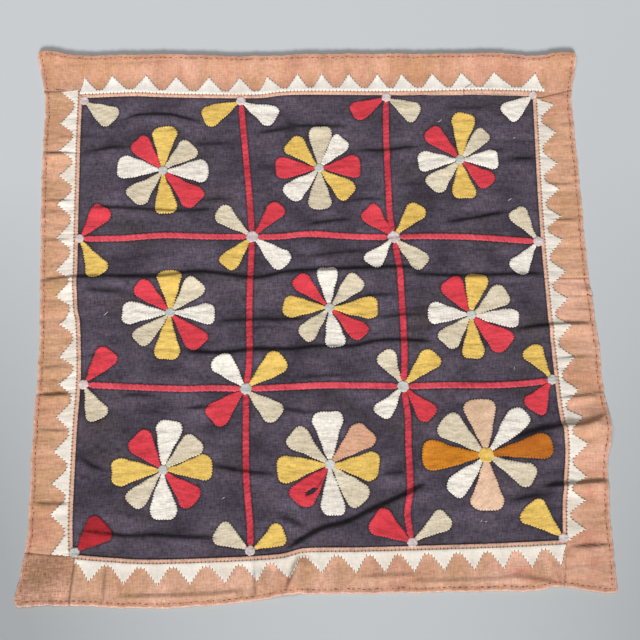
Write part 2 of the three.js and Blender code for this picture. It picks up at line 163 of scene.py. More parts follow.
GROUND_EDGE = {
    "bottom": Side((-392, -402), [(0.08, -7), (0.18, -12), (0.4, -10), (0.48, -1), (0.6, -2), (0.85, -2)]),
    "right": Side((392, -396), [(0.08, -4), (0.19, -13), (0.3, -6), (0.5, 0), (0.7, 3), (0.85, 2)]),
    "top": Side((394, 382), [(0.12, -3), (0.3, -1), (0.53, -3), (0.62, 3), (0.8, 0), (0.89, -3)]),
    "left": Side((-400, 394), [(0.15, -2), (0.45, -2), (0.52, 4), (0.63, 7), (0.75, 2), (0.92, -2)]),
}
HEM_WAVES = ((0.5, 2.9, 0), (0.35, 5.3, 1), (0.5, 13, 2))
STEADY_END = 12.0
HALF_CORNER = 20


def side_line(edge, side):
    """One side of an edge table as a smooth line from its corner to the next."""
    names = list(edge)
    after = names[(names.index(side) + 1) % len(names)]
    return bent_line(edge[side].corner, edge[after].corner, edge[side].strays)


def outwards_of(line):
    """Unit directions at right angles to a line, to its right."""
    along = np.gradient(line, axis=0)
    along /= np.hypot(*along.T)[:, None]
    return np.column_stack([along[:, 1], -along[:, 0]])


def wavered(line):
    """A line that wavers from side to side like a hand-rolled hem, but not at its ends."""
    fine = stretch(line, count=1200)
    gone = run_along(fine)
    waver = sum(size * np.sin(gone / slow + shift) for size, slow, shift in HEM_WAVES)
    held = ease(0, STEADY_END, np.minimum(gone, gone[-1] - gone))
    return fine + outwards_of(fine) * (waver * held)[:, None]


def rounded_corner(before, after, reach):
    """A curve from one side to the next that starts and ends some millimetres from their corner."""
    start = stretch(before, 1 - reach / run_along(before)[-1], 1, 2)[0]
    end = stretch(after, 0, reach / run_along(after)[-1], 2)[1]
    t = np.linspace(0, 1, 2 * HALF_CORNER + 1)[:, None]
    return (1 - t) ** 2 * start + 2 * t * (1 - t) * after[0] + t**2 * end


def rounded_sides(edge):
    """The four sides of an edge table, which meet halfway round each corner."""
    names = list(edge)
    sides = {side: side_line(edge, side) for side in names}
    made = {}
    for number, side in enumerate(names):
        after = names[(number + 1) % len(names)]
        first = rounded_corner(sides[names[number - 1]], sides[side], CORNER_ROUND[side])[HALF_CORNER:]
        last = rounded_corner(sides[side], sides[after], CORNER_ROUND[after])[:HALF_CORNER + 1]
        long = run_along(sides[side])[-1]
        between = stretch(sides[side], CORNER_ROUND[side] / long, 1 - CORNER_ROUND[after] / long)
        made[side] = np.vstack([first[:-1], between, last[1:]])
    return made


OUTER = {side: wavered(line) for side, line in rounded_sides(OUTER_EDGE).items()}
GROUND = {side: side_line(GROUND_EDGE, side) for side in GROUND_EDGE}
outer_loop = np.vstack([line[:-1] for line in OUTER.values()])
ground_loop = np.vstack([stretch(line, count=900)[:-1] for line in GROUND.values()])
around = {name: round(run_along(loop)[-1]) for name, loop in (("hem", outer_loop), ("ground", ground_loop))}
print("millimetres around", around)


# %% How far a point is from an outline
def ruler(loop):
    """Measures points against a line of points: the distance, and the number of the nearest point."""
    tree = kdtree.KDTree(len(loop))
    for number, (x, y) in enumerate(loop):
        tree.insert((x, y, 0), number)
    tree.balance()

    def measure(x, y):
        found = np.array([tree.find((a, b, 0))[1:] for a, b in zip(np.ravel(x), np.ravel(y))])
        return found[:, 1].reshape(np.shape(x)), found[:, 0].astype(int).reshape(np.shape(x))

    return measure


def signed_ruler(loop, outwards):
    """Like ruler, but the distance is below 0 on the inner side of the line."""
    measure = ruler(loop)

    def signed(x, y):
        far, number = measure(x, y)
        beyond = (x - loop[number, 0]) * outwards[number, 0] + (y - loop[number, 1]) * outwards[number, 1]
        return np.where(beyond >= 0, far, -far), number

    return signed


from_hem = ruler(outer_loop)
past_ground = signed_ruler(ground_loop, outwards_of(ground_loop))

# %% [markdown]
# ## How the panel lies
#
# Cotton that was folded and stored keeps soft folds. Each row is one fold: the line of its far foot, its
# height and half its width. On the real panel the far side of a fold is steep and the near side gentle, which
# is why each fold shows as one dark line; a painted shade darkens its far foot. Between the folds the quilted
# ground is never flat: it has faint ripples, mostly from side to side. The hem at the top has curled up off
# the floor.

# %% Folds in the ground
Fold = namedtuple("Fold", "foot height half")
GROUND_FOLDS = [
    Fold([(-474, 60), (-412, 66), (-343, 67), (-265, 64), (-190, 71), (-100, 58), (-40, 68), (28, 70),
          (140, 72), (190, 68)], 5, 24),
    Fold([(150, 61), (200, 56), (278, 53), (402, 55)], 3.5, 20),
    Fold([(-222, -67), (-160, -72), (-100, -67), (-40, -68), (5, -64), (66, -65), (100, -58),
          (140, -56), (210, -61)], 4.5, 22),
    Fold([(-172, -18), (-99, -16), (-51, -17), (0, -16)], 3, 18),
    Fold([(95, -19), (156, -14), (205, -15)], 2.5, 14), Fold([(70, 20), (98, 22), (150, 24)], 2.5, 14),
    Fold([(-15, 90), (7, 95), (100, 103)], 2.5, 14), Fold([(-400, 45), (-350, 40), (-306, 37)], 3.2, 16),
    Fold([(325, -45), (402, -36), (476, -34)], 4, 16), Fold([(-35, -118), (0, -116), (65, -115)], 2, 12),
    Fold([(-404, 291), (-364, 297), (-337, 301), (-312, 300)], 3.5, 16),
    Fold([(-336, 348), (-310, 359), (-283, 362), (-245, 360), (-222, 354), (-185, 344)], 4, 18),
    Fold([(-50, 348), (-26, 335), (6, 333), (75, 331)], 3, 16),
    Fold([(-102, 320), (-70, 325), (-37, 330), (-5, 331)], 3, 16),
    Fold([(72, 288), (125, 284), (169, 289), (196, 290)], 3, 15),
    Fold([(-215, 303), (-170, 304), (-120, 303)], 2, 14), Fold([(340, 268), (358, 263), (396, 265)], 3, 14),
    Fold([(305, 280), (345, 279)], 2, 12),
    Fold([(-396, 192), (-346, 190), (-230, 181), (-183, 182), (-155, 187)], 3, 16),
    Fold([(-190, 199), (-122, 203)], 2, 13), Fold([(-20, 149), (33, 156), (80, 161)], 3, 16),
    Fold([(52, 191), (98, 195), (135, 192)], 2.5, 14), Fold([(218, 148), (283, 156), (342, 169)], 3.5, 16),
    Fold([(148, 220), (205, 221)], 2, 13), Fold([(228, 362), (325, 360)], 2, 13),
    Fold([(-396, -234), (-363, -259), (-330, -270)], 3, 13),
    Fold([(-178, -259), (-143, -267), (-113, -273), (-60, -280)], 3, 14),
    Fold([(100, -281), (150, -279)], 2.5, 14),
    Fold([(-60, -404), (-3, -370), (48, -356), (89, -337), (140, -315), (186, -292)], 6, 22),
    Fold([(-70, -341), (-40, -355), (-8, -372)], 3, 14),
    Fold([(300, -334), (347, -322), (402, -320)], 2.5, 14),
    Fold([(-392, -360), (-338, -368), (-302, -373), (-266, -372), (-215, -376), (-150, -379)], 3.2, 14),
    Fold([(-390, -365), (-371, -373), (-360, -377)], 2, 8), Fold([(-332, -140), (-250, -144)], 2.5, 12),
    Fold([(-222, -167), (-168, -163)], 2.5, 12), Fold([(-65, -166), (-16, -177), (15, -176)], 2, 12),
]

# %% Folds in the border
BORDER_FOLDS = [
    Fold([(-476, 293), (-404, 292)], 4, 14), Fold([(-470, 205), (-405, 203)], 2, 10),
    Fold([(-470, 130), (-410, 134)], 2, 10), Fold([(-468, -92), (-400, -90)], 2, 10),
    Fold([(-472, -139), (-390, -137)], 4.5, 14), Fold([(-470, -196), (-395, -200)], 2, 10),
    Fold([(-472, -316), (-392, -320)], 3, 14), Fold([(400, 215), (465, 213)], 2, 10),
    Fold([(398, 150), (467, 146)], 2, 10), Fold([(396, -95), (476, -92)], 2.5, 12),
    Fold([(395, -163), (480, -155)], 3, 12),
    Fold([(312, -236), (347, -219), (400, -208), (440, -206), (484, -186)], 7, 20),
    Fold([(355, -308), (399, -304), (484, -298)], 6, 18), Fold([(395, -405), (480, -403)], 4, 14),
    Fold([(-61, -479), (-31, -395)], 7, 26), Fold([(-102, -488), (-106, -412)], 3, 16),
    Fold([(-345, -492), (-341, -406)], 2.5, 14),
    Fold([(-335, -467), (-250, -468), (-180, -467), (-110, -462)], 1.8, 9),
    Fold([(55, -445), (110, -444), (170, -443)], 1.6, 8),
    Fold([(130, -453), (200, -454), (270, -453), (330, -450)], 1.4, 8),
    Fold([(285, -447), (330, -452), (392, -463)], 1.8, 9),
]
STEEP_SIDE = 0.36
GENTLE_SIDE = 1.25
FOLD_RISE = 1.4
FOLD_END = 32.0
LARGEST_END_SHARE = 0.4
BentFold = namedtuple("BentFold", "fold start run long bends")


def bent_fold(fold):
    """A fold with its foot as a straight run and the bends along it."""
    foot = np.array(fold.foot, float)
    run = foot[-1] - foot[0]
    long = np.hypot(*run)
    gone = (foot - foot[0]) @ run / long**2
    strays = (foot - foot[0]) @ np.array([-run[1], run[0]]) / long
    return BentFold(fold, foot[0], run, long, smooth_line(np.column_stack([gone, strays])))


folds = [bent_fold(fold) for fold in GROUND_FOLDS + BORDER_FOLDS]


def fold_place(bent, x, y):
    """How strong a fold is at each point along it, and the distance past its foot."""
    dx, dy = x - bent.start[0], y - bent.start[1]
    along = (dx * bent.run[0] + dy * bent.run[1]) / bent.long**2
    across = (dy * bent.run[0] - dx * bent.run[1]) / bent.long - np.interp(along, *bent.bends.T)
    faded = min(LARGEST_END_SHARE, FOLD_END / bent.long)
    return ease(0, faded, np.minimum(along, 1 - along)), across


def fold_height(bent, x, y):
    """How high one fold stands: steep on the far side of its crest and gentle on the near side."""
    strong, across = fold_place(bent, x, y)
    past_crest = across + STEEP_SIDE * bent.fold.half
    reach = bent.fold.half * np.where(past_crest > 0, STEEP_SIDE, GENTLE_SIDE)
    return FOLD_RISE * bent.fold.height * strong * np.clip(1 - (past_crest / reach) ** 2, 0, None) ** 2


# %% Broad swells
Swell = namedtuple("Swell", "at turn long wide height")
SWELLS = [Swell((452, -222), 22, 75, 34, 10), Swell((-52, -452), 70, 50, 18, 5),
          Swell((-440, -452), 30, 60, 30, 4)]


def swell_height(swell, x, y):
    """How high a broad soft swell stands."""
    along, across = turned(x - swell.at[0], y - swell.at[1], -swell.turn)
    return swell.height * bell(along, swell.long) * bell(across, swell.wide)


# %% Ripples, the curled top hem and painted shade
# Each ripple's fourth value is how dark a painted shade makes its valleys.
Ripple = namedtuple("Ripple", "pitch shift height dust mean on_border drifts")
RIPPLES = [
    Ripple(33.0, 0.7, 2.2, 0.85, 0.5, 0.0, [(57, 31, 1.3), (41, -67, 0)]),
    Ripple(21.0, 2.1, 1.1, 0.595, 0.45, 0.35, [(67, -113, 0.4), (33, 29, 0)]),
]
RIPPLE_SWAY = 6.0
SWAY_LENGTH = 83.0
RIPPLE_WOBBLE = 3.0
WOBBLE = (37, -140, 0)
RIPPLE_LEAN = 0.3
RIPPLE_ROUND = 0.8
WAIST_HALF = 150.0
AT_WAIST = 0.28
NEAR_SIDE = (120, 300)
NEAR_LESS = 0.22
VALLEY = 0.3
TOP_CURL = 10.0
TOP_CURL_WIDTH = 48.0
BORDER_STARTS = (385, 405)
# Painted shade along the far foot of each fold: its width on the ground and on the border, the fold height
# that gets it in full, and how far it lies past the foot.
PAINTED_SHADE_WIDTH = 5.2
BORDER_PAINTED_SHADE_WIDTH = 2.6
FULL_PAINTED_SHADE_HEIGHT = 3.4
PAINTED_SHADE_ASIDE = 0.108


def drift(x, y, wave):
    """A slow wave across the panel, given by its lengths for one radian in x and y and its shift."""
    return np.sin(x / wave[0] + y / wave[1] + wave[2])


def ripples(x, y):
    """Each kind of ripple with its wave, from 0 to 1, and its strength. It is strongest at the waist."""
    row = 1 - AT_WAIST + AT_WAIST * bell(y, WAIST_HALF) - NEAR_LESS * ease(*NEAR_SIDE, -y)
    on_border = ease(*BORDER_STARTS, np.abs(x))
    for kind in RIPPLES:
        strong = kind.mean * (1 + drift(x, y, kind.drifts[0]) * drift(x, y, kind.drifts[1]))
        sway = RIPPLE_SWAY * np.sin(x / SWAY_LENGTH + kind.shift)
        bent = y + sway + RIPPLE_WOBBLE * drift(x, y, WOBBLE)
        phase = 2 * np.pi / kind.pitch * bent + kind.shift
        wave = np.abs(np.sin(phase / 2 + RIPPLE_LEAN * np.sin(phase))) ** RIPPLE_ROUND
        yield kind, wave, row * (strong + kind.on_border * on_border)


def lie(x, y):
    """Height of the cloth's underside above the floor."""
    x, y = np.asarray(x, float), np.asarray(y, float)
    folded = np.max([fold_height(bent, x, y) for bent in folds], axis=0)
    swollen = sum(swell_height(swell, x, y) for swell in SWELLS)
    waves = sum(kind.height * strong * wave for kind, wave, strong in ripples(x, y))
    from_top = np.interp(x, *OUTER["top"][::-1].T) - y
    return folded + swollen + waves + TOP_CURL * (1 - ease(0, TOP_CURL_WIDTH, from_top))


def dust(x, y):
    """Painted shade along the far foot of each fold and in the ripples' valleys, from 0 to 1."""
    on_border = ease(*BORDER_STARTS, np.maximum(np.abs(x), np.abs(y)))
    wide = PAINTED_SHADE_WIDTH + (BORDER_PAINTED_SHADE_WIDTH - PAINTED_SHADE_WIDTH) * on_border
    shaded = []
    for bent in folds:
        strong, across = fold_place(bent, x, y)
        foot = across + PAINTED_SHADE_ASIDE * bent.fold.half
        full = min(bent.fold.height / FULL_PAINTED_SHADE_HEIGHT, 1)
        shaded.append(full * strong * bell(foot, wide))
    for kind, wave, strong in ripples(x, y):
        shaded.append(kind.dust * strong**2 * bell(wave, VALLEY))
    return np.max(shaded, axis=0)


print("the waist fold stands", round(float(lie(0, 62)), 1), "mm off the floor")

# %% [markdown]
# ## Cloth as closed sheets
#
# A patch is one cut piece: its points, faces, the place of each point on the woven cloth (so that the
# threads run with the cut and not with the world), its distance from the piece's edge, where hand-sewn cloth
# is turned under and takes another shade (which in places is a painted rim highlight or painted contact
# shade), its painted shade and its stray dye. Long pieces are grids with a face, an underside and a rim.
# Petals and discs are rings, one inside the other. Several patches can be joined in one piece, such as the
# petals of one flower.

# %% Patches of cloth
Patch = namedtuple("Patch", "points faces weave edge cloth soil ran", defaults=[0.0, 0.0])
CLOTH = 1.6
APPLIQUE = 1.0
GAP = 0.3


def grid_patch(x, y, face, under, weave, edge, cloth, soil=0.0, ran=0.0):
    """A closed sheet from a grid of places, with the heights of its face and of its underside."""
    shape = x.shape
    down = x[1, 0] - x[0, 0], y[1, 0] - y[0, 0]
    right = x[0, 1] - x[0, 0], y[0, 1] - y[0, 0]
    way = -1 if down[0] * right[1] < down[1] * right[0] else 1
    parts = x, y, face, under, edge, soil, ran, *weave
    parts = [np.broadcast_to(part, shape)[::way].ravel() for part in parts]
    x, y, face, under = parts[:4]
    edge, soil, ran, *weave = (np.tile(part, 2) for part in parts[4:])
    number = np.arange(x.size).reshape(shape)
    quads = np.stack([number[:-1, :-1], number[1:, :-1], number[1:, 1:], number[:-1, 1:]], -1).reshape(-1, 4)
    loop = np.concatenate([number[:, 0], number[-1, 1:], number[-2::-1, -1], number[0, -2:0:-1]])
    after = np.roll(loop, -1)
    rim = np.stack([after, loop, loop + x.size, after + x.size], -1)
    points = np.vstack([np.column_stack([x, y, face]), np.column_stack([x, y, under])])
    faces = np.concatenate([quads, quads[:, ::-1] + x.size, rim])
    return Patch(points, faces.tolist(), np.column_stack(weave), edge, cloth, soil, ran)


Ring = namedtuple("Ring", "plan face under edge")


def ring_patch(rings, kept, grain, offset, cloth, open_middle=False):
    """A closed sheet from rings, from an outline inwards to a seam or a hole. Its underside keeps a few."""
    below = [rings[k] for k in kept]
    points = np.vstack([np.column_stack([ring.plan, ring.face]) for ring in rings]
                       + [np.column_stack([ring.plan, ring.under]) for ring in below])
    edge = np.concatenate([ring.edge for ring in rings + below])
    weave = np.column_stack([*turned(points[:, 0], points[:, 1], -grain), np.full(len(points), offset)])
    joins = [(k, k + 1) for k in range(len(rings) - 1)] + [(len(rings), 0)]
    joins += [(len(rings) + k + 1, len(rings) + k) for k in range(len(kept) - 1)]
    if open_middle:
        joins.append((len(rings) - 1, len(rings) + len(kept) - 1))
    count = len(rings[0].plan)
    first = np.arange(count)
    after = np.roll(first, -1)
    faces = [np.stack([first + a * count, after + a * count, after + b * count, first + b * count], -1)
             for a, b in joins]
    return Patch(points, np.concatenate(faces).tolist(), weave, edge, cloth)


# %% Pieces made of patches
SAME_POINT = 0.002
made_triangles = {}


def make_piece(kind, name, patches, weld=False):
    """One object from its patches, in metres, with weave, edge distance, painted shade and dye kept on its
    points.
    """
    mesh = bpy.data.meshes.new(name)
    starts = np.cumsum([0] + [len(patch.points) for patch in patches])
    faces, cloth_of_face, cloths = [], [], []
    for start, patch in zip(starts, patches):
        if patch.cloth not in cloths:
            cloths.append(patch.cloth)
        faces += [[start + corner for corner in face] for face in patch.faces]
        cloth_of_face += [cloths.index(patch.cloth)] * len(patch.faces)
    points = np.concatenate([patch.points for patch in patches])
    mesh.from_pydata((points / METRE).tolist(), [], faces)
    for cloth in cloths:
        mesh.materials.append(cloth)
    mesh.polygons.foreach_set("material_index", cloth_of_face)
    mesh.polygons.foreach_set("use_smooth", [True] * len(faces))
    weave = np.concatenate([patch.weave for patch in patches]).astype(np.float32)
    mesh.attributes.new("weave", "FLOAT_VECTOR", "POINT").data.foreach_set("vector", weave.ravel())
    for key in ("edge", "soil", "ran"):
        kept = np.concatenate([np.broadcast_to(getattr(patch, key), len(patch.points)) for patch in patches])
        # Painted shade of the folds and ripples is added to the points' shade value.
        if key == "soil":
            kept = np.maximum(kept, dust(points[:, 0], points[:, 1]))
        mesh.attributes.new(key, "FLOAT", "POINT").data.foreach_set("value", kept.astype(np.float32))
    if weld:
        work = bmesh.new()
        work.from_mesh(mesh)
        bmesh.ops.remove_doubles(work, verts=work.verts, dist=SAME_POINT / METRE)
        work.to_mesh(mesh)
        work.free()
    mesh.update()
    made_triangles[kind] = made_triangles.get(kind, 0) + sum(len(face.vertices) - 2 for face in mesh.polygons)
    piece = bpy.data.objects.new(name, mesh)
    bpy.context.scene.collection.objects.link(piece)
    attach(piece, "root")
    return piece


def lay(kind, name, node, patches, flat=None, weld=False):
    """Cloth that lies on others, made as one piece; the imported part of its node is hidden."""
    piece = make_piece(kind, name, patches, weld)
    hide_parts(node)
    points = np.concatenate([patch.points for patch in patches])
    flat = tuple(side / METRE for side in flat or np.ptp(points[:, :2], axis=0))


# %% [markdown]
# ## Hand-woven, faded cotton
#
# All cloths here are plain-woven cotton, dyed unevenly and faded by light and washing. The eye sees threads
# that are thick in places (slubs) in both directions, blotches of dye and stains, and faint creases where the
# quilting pulls the cloth, with painted shade in them. Each cloth has an edge of another shade; on the border
# this is pinker with a painted highlight at its rim, on the petals a painted highlight, and on the ground
# painted contact shade with darker dye. In its folds, grooves and seams each cloth has painted shade, and in
# places the border is tinted by red dye that ran. One function makes every cloth from its colours, as layers
# over its darker dye.
# Real threads are about 0.8 mm apart, finer than a picture of the whole panel can show, so they are drawn
# three times as coarse.

# %% Colours and nodes
def linear(hex_colour):
    """A colour as a screen shows it, such as #d2a184, as linear light."""
    parts = [int(hex_colour[i:i + 2], 16) / 255 for i in (1, 3, 5)]
    return (*[p / 12.92 if p <= 0.04045 else ((p + 0.055) / 1.055) ** 2.4 for p in parts], 1.0)


def add(tree, kind, values=None, links=None, **settings):
    """One node with its settings, its constant inputs and its links."""
    node = tree.nodes.new(kind)
    for key, value in settings.items():
        setattr(node, key, value)
    for key, value in (values or {}).items():
        node.inputs[key].default_value = value
    for key, output in (links or {}).items():
        tree.links.new(output, node.inputs[key])
    return node


def new_material(name):
    """A material with an empty tree of nodes."""
    material = bpy.data.materials.new(name)
    material.use_nodes = True
    material.node_tree.nodes.clear()
    return material, material.node_tree


MIX_FACTOR, MIX_A, MIX_B, MIX_RESULT = 0, 6, 7, 2

# %% Plain-woven cotton
# A Look's crease darkening is painted shade in creases, its fold darkening painted shade in folds, grooves
# and seams, and its rim colour a painted highlight along a rolled edge.
Look = namedtuple("Look", "light dark edge edge_reach edge_share stain contrast crease crease_depth "
                  "crease_dark fold_dark rim", defaults=[None])
Layer = namedtuple("Layer", "pattern low high at_low at_high dye", defaults=[None])
THREAD_PITCH = 2.4
THREAD_DEPTH = 0.25
SLUB_LENGTH = 11.0
DYE_BLOTCH = (80.0, 56.0)
STAIN_SIZE = (130.0, 78.0)
RAN_DYE = "#b95f50"
# Width and strength of the painted highlight along a rolled rim.
RIM_HIGHLIGHT_WIDTH = (1.0, 3.2)
RIM_HIGHLIGHT = 0.7


def cotton(name, look):
    """Plain-woven cotton: two shades of dye, then what lies over them, then creases, painted shade and
    threads.
    """
    material, tree = new_material(name)
    weave = add(tree, "ShaderNodeAttribute", attribute_name="weave").outputs["Vector"]
    edge, soil, ran = (add(tree, "ShaderNodeAttribute", attribute_name=key).outputs["Fac"]
                       for key in ("edge", "soil", "ran"))
    streaks = []
    for long, wide, detail in ((SLUB_LENGTH, THREAD_PITCH, 2.0), (THREAD_PITCH, SLUB_LENGTH, 2.0),
                               (*DYE_BLOTCH, 4.0), (*STAIN_SIZE, 3.0), (*look.crease, 2.0)):
        scale = (1 / long, 1 / wide, 1.0)
        drawn = add(tree, "ShaderNodeVectorMath", {1: scale}, {0: weave}, operation="MULTIPLY").outputs[0]
        noise = add(tree, "ShaderNodeTexNoise", {"Scale": 1.0, "Detail": detail}, {"Vector": drawn})
        streaks.append(noise.outputs[0])
    warp, weft, blotches, stains, creases = streaks
    threads = add(tree, "ShaderNodeMath", None, {0: warp, 1: weft}).outputs[0]
    faded = add(tree, "ShaderNodeMapRange", {"From Min": 0.32, "From Max": 0.68}, {"Value": blotches})
    colour = add(tree, "ShaderNodeMix", {MIX_A: linear(look.dark), MIX_B: linear(look.light)},
                 {MIX_FACTOR: faded.outputs[0]}, data_type="RGBA").outputs[MIX_RESULT]
    # A painted highlight along a rolled rim.
    painted_light = [Layer(edge, *RIM_HIGHLIGHT_WIDTH, RIM_HIGHLIGHT, 0.0, look.rim)] if look.rim else []
    for layer in [Layer(stains, 0.52, 0.72, 0.0, 0.7, look.stain),
                  Layer(ran, 0.0, 1.0, 0.0, 1.0, RAN_DYE),
                  Layer(edge, 0.0, look.edge_reach, look.edge_share, 0.0, look.edge),
                  *painted_light,
                  # Painted shade in creases, then in folds, grooves and seams.
                  Layer(creases, 0.34, 0.54, 1 - look.crease_dark, 1.0),
                  Layer(soil, 0.0, 1.0, 1.0, 1 - look.fold_dark),
                  Layer(threads, 0.7, 1.3, 1 - look.contrast, 1 + look.contrast)]:
        ends = {"From Min": layer.low, "From Max": layer.high,
                "To Min": layer.at_low, "To Max": layer.at_high}
        share = add(tree, "ShaderNodeMapRange", ends, {"Value": layer.pattern}).outputs[0]
        if layer.dye:
            values, links, way = {MIX_B: linear(layer.dye)}, {MIX_FACTOR: share, MIX_A: colour}, "MIX"
        else:
            values, links, way = {MIX_FACTOR: 1.0}, {MIX_A: colour, MIX_B: share}, "MULTIPLY"
        mixed = add(tree, "ShaderNodeMix", values, links, data_type="RGBA", blend_type=way)
        colour = mixed.outputs[MIX_RESULT]
    pillow = add(tree, "ShaderNodeMapRange", {"From Min": 0.3, "From Max": 0.7, "To Max": look.crease_depth},
                 {"Value": creases}).outputs[0]
    relief = add(tree, "ShaderNodeMath", {1: THREAD_DEPTH}, {0: threads, 2: pillow}, operation="MULTIPLY_ADD")
    bump = add(tree, "ShaderNodeBump", {"Strength": 1.0, "Distance": 1 / METRE},
               {"Height": relief.outputs[0]})
    cloth = add(tree, "ShaderNodeBsdfPrincipled", {"Roughness": 0.9, "IOR": 1.53, "Specular IOR Level": 0.25,
                                                   "Sheen Weight": 0.05, "Sheen Roughness": 0.6},
                {"Base Color": colour, "Normal": bump.outputs["Normal"]})
    add(tree, "ShaderNodeOutputMaterial", None, {"Surface": cloth.outputs["BSDF"]})
    return material


# %% [markdown]
# ## The tan border
#
# Six lengths of tan cotton, sewn end to end around the ground. The outer edge is rolled into a hem about
# 10 mm wide, double there, pinker than the rest, with a painted highlight at its rim where the roll catches
# the light, and drawn in and gathered by a running stitch. The inner edge is turned under and laid over the
# ground cloth's edge, like piping. Each length is a grid filled in between its four edge lines; the six were
# cut and faded separately, so each has its own shade. The hem's stitch groove, the seams and the two near
# corners have painted shade. In the lower right, red dye from the strips has run into the cloth.

# %% Seams of the border
Seam = namedtuple("Seam", "side points")
SEAMS = {
    "top_left": Seam("left", [(-400, 394), (-404, 407), (-600, 412)]),
    "top_right": Seam("right", [(394, 382), (404, 376), (600, 421)]),
    "right": Seam("right", [(380, 43), (600, 40)]),
    "bottom_right": Seam("bottom", [(392, -396), (399, -406), (391, -463), (380, -600)]),
    "bottom_left": Seam("bottom", [(-392, -402), (-389, -412), (-396, -470), (-402, -600)]),
    "left_bottom": Seam("left", [(-392, -402), (-400, -405), (-467, -398), (-600, -396)]),
}


def meeting(line, other):
    """Shares of two lines at which they come nearest to each other."""
    a, b = stretch(line, count=1500), stretch(other, count=1500)
    gap = np.hypot(a[:, None, 0] - b[None, :, 0], a[:, None, 1] - b[None, :, 1])
    i, j = np.unravel_index(gap.argmin(), gap.shape)
    return i / (len(a) - 1), j / (len(b) - 1)


seam_line, hem_share = {}, {}
for name, seam in SEAMS.items():
    hem_share[name], end = meeting(OUTER[seam.side], seam.points)
    start = meeting(GROUND["right"], seam.points)[1] if name == "right" else 0.0
    seam_line[name] = stretch(seam.points, start, end, 200)
right_share = meeting(GROUND["right"], SEAMS["right"].points)[0]
from_seam = ruler(np.vstack(list(seam_line.values())))
print("seams", {name: round(run_along(line)[-1]) for name, line in seam_line.items()}, "mm")


# %% The four edge lines of each length
def chain(*lines):
    """Lines joined end to end."""
    return stretch(np.vstack(lines), count=1200)


def hem(side, start=0.0, end=1.0):
    """The outer edge of one side, between two shares of it or two seams."""
    return stretch(OUTER[side], hem_share.get(start, start), hem_share.get(end, end), 600)


Length = namedtuple("Length", "inner outer start end columns rows weft")
LENGTHS = {
    "top": Length(
        chain(GROUND["top"]), hem("top"),
        chain(seam_line["top_right"], hem("right", "top_right", 1)),
        chain(seam_line["top_left"], hem("left", "top_left", 0)), 300, 33, 1),
    "left": Length(
        chain(GROUND["left"]), hem("left", "top_left", "left_bottom"),
        seam_line["top_left"], seam_line["left_bottom"], 250, 31, 0),
    "corner": Length(
        seam_line["left_bottom"], hem("bottom", "bottom_left", 0),
        seam_line["bottom_left"], hem("left", "left_bottom", 1), 32, 32, 0),
    "bottom": Length(
        chain(GROUND["bottom"]), hem("bottom", "bottom_left", "bottom_right"),
        seam_line["bottom_left"], seam_line["bottom_right"], 250, 31, 1),
    "right_lower": Length(
        stretch(GROUND["right"], 0, right_share), hem("right", 0, "right"),
        chain(seam_line["bottom_right"], hem("bottom", "bottom_right", 1)),
        seam_line["right"], 165, 31, 0),
    "right_upper": Length(
        stretch(GROUND["right"], right_share, 1), hem("right", "right", "top_right"),
        seam_line["right"], seam_line["top_right"], 108, 31, 0),
}
MARGIN_ROWS = (0, 0.015, 0.04)
MIDDLE_ROWS = (0.08, 0.86)
HEM_ROWS = np.linspace(0.86, 1, 11)[1:]


def filled(length, hemmed=True):
    """A grid of points between four edge lines, closer together near a hem."""
    across = np.linspace(0, 1, length.rows)
    if hemmed:
        middle = np.linspace(*MIDDLE_ROWS, length.rows - len(MARGIN_ROWS) - len(HEM_ROWS))
        across = np.r_[MARGIN_ROWS, middle, HEM_ROWS]
    along = np.linspace(0, 1, length.columns)
    inner, outer = (stretch(line, count=length.columns) for line in (length.inner, length.outer))
    start, end = (points_at(across, np.linspace(0, 1, 400), stretch(line))
                  for line in (length.start, length.end))
    u, v = along[:, None, None], across[None, :, None]
    sides = (1 - v) * inner[:, None] + v * outer[:, None] + (1 - u) * start[None] + u * end[None]
    corners = (1 - u) * ((1 - v) * inner[0] + v * outer[0]) + u * ((1 - v) * inner[-1] + v * outer[-1])
    return sides - corners


# %% Border lengths with hem and inner margin
TAN_MARGIN = 6.5
MARGIN_LIFT = 2.0
LIFT_REACH = 20.8
# Edge distance over the tan margin, which spreads the hem's pinker colour and the painted rim highlight onto
# it.
MARGIN_EDGE_AND_HIGHLIGHT = ((0, 5.5, 12), (0.6, 2.3, 14))
HEM_WIDTH = 10.0
HEM_DOUBLE = 0.6
HEM_FALL = 2.0
HEM_STITCH_LINE = 7.0
HEM_PITCH = 9.0
HEM_PUCKER = 12.5
GATHER_HEIGHT = 0.45
GATHER_REACH = 14.0
GROOVE_WIDTH = 2.2
GROOVE_DEPTH = 0.3
GROOVE_PULL = 0.2
Roll = namedtuple("Roll", "depth width")
HEM_ROLL, MARGIN_ROLL, SEAM_ROLL = Roll(0.8, 2.2), Roll(0.7, 1.8), Roll(0.8, 2.5)
# Painted shade: its share and width in the hem's stitch groove and along the seams, and its share at the near
# corners.
Soil = namedtuple("Soil", "share width")
GROOVE_SHADE, SEAM_SHADE = Soil(0.5, 2.0), Soil(0.7, 1.8)
CORNER_SHADE = 0.2
BORDER_WEAVE_STEP = 70.0
CORNER_ASIDE, CORNER_NEAR = (395, 440), (370, 430)
BORDER_SHADES = {
    "top": ("#dfa98f", "#c8946e", 0.21), "left": ("#e2ad8f", "#c2956d", 0.21),
    "corner": ("#d6a38b", "#b08466", 0.4), "bottom": ("#e7b59d", "#c59673", 0.24),
    "right_lower": ("#eab59c", "#ca9976", 0.18), "right_upper": ("#e5b193", "#c89872", 0.18),
}
HEM_SHADE = "#cf9279"
BORDER_STAIN = "#c98a72"
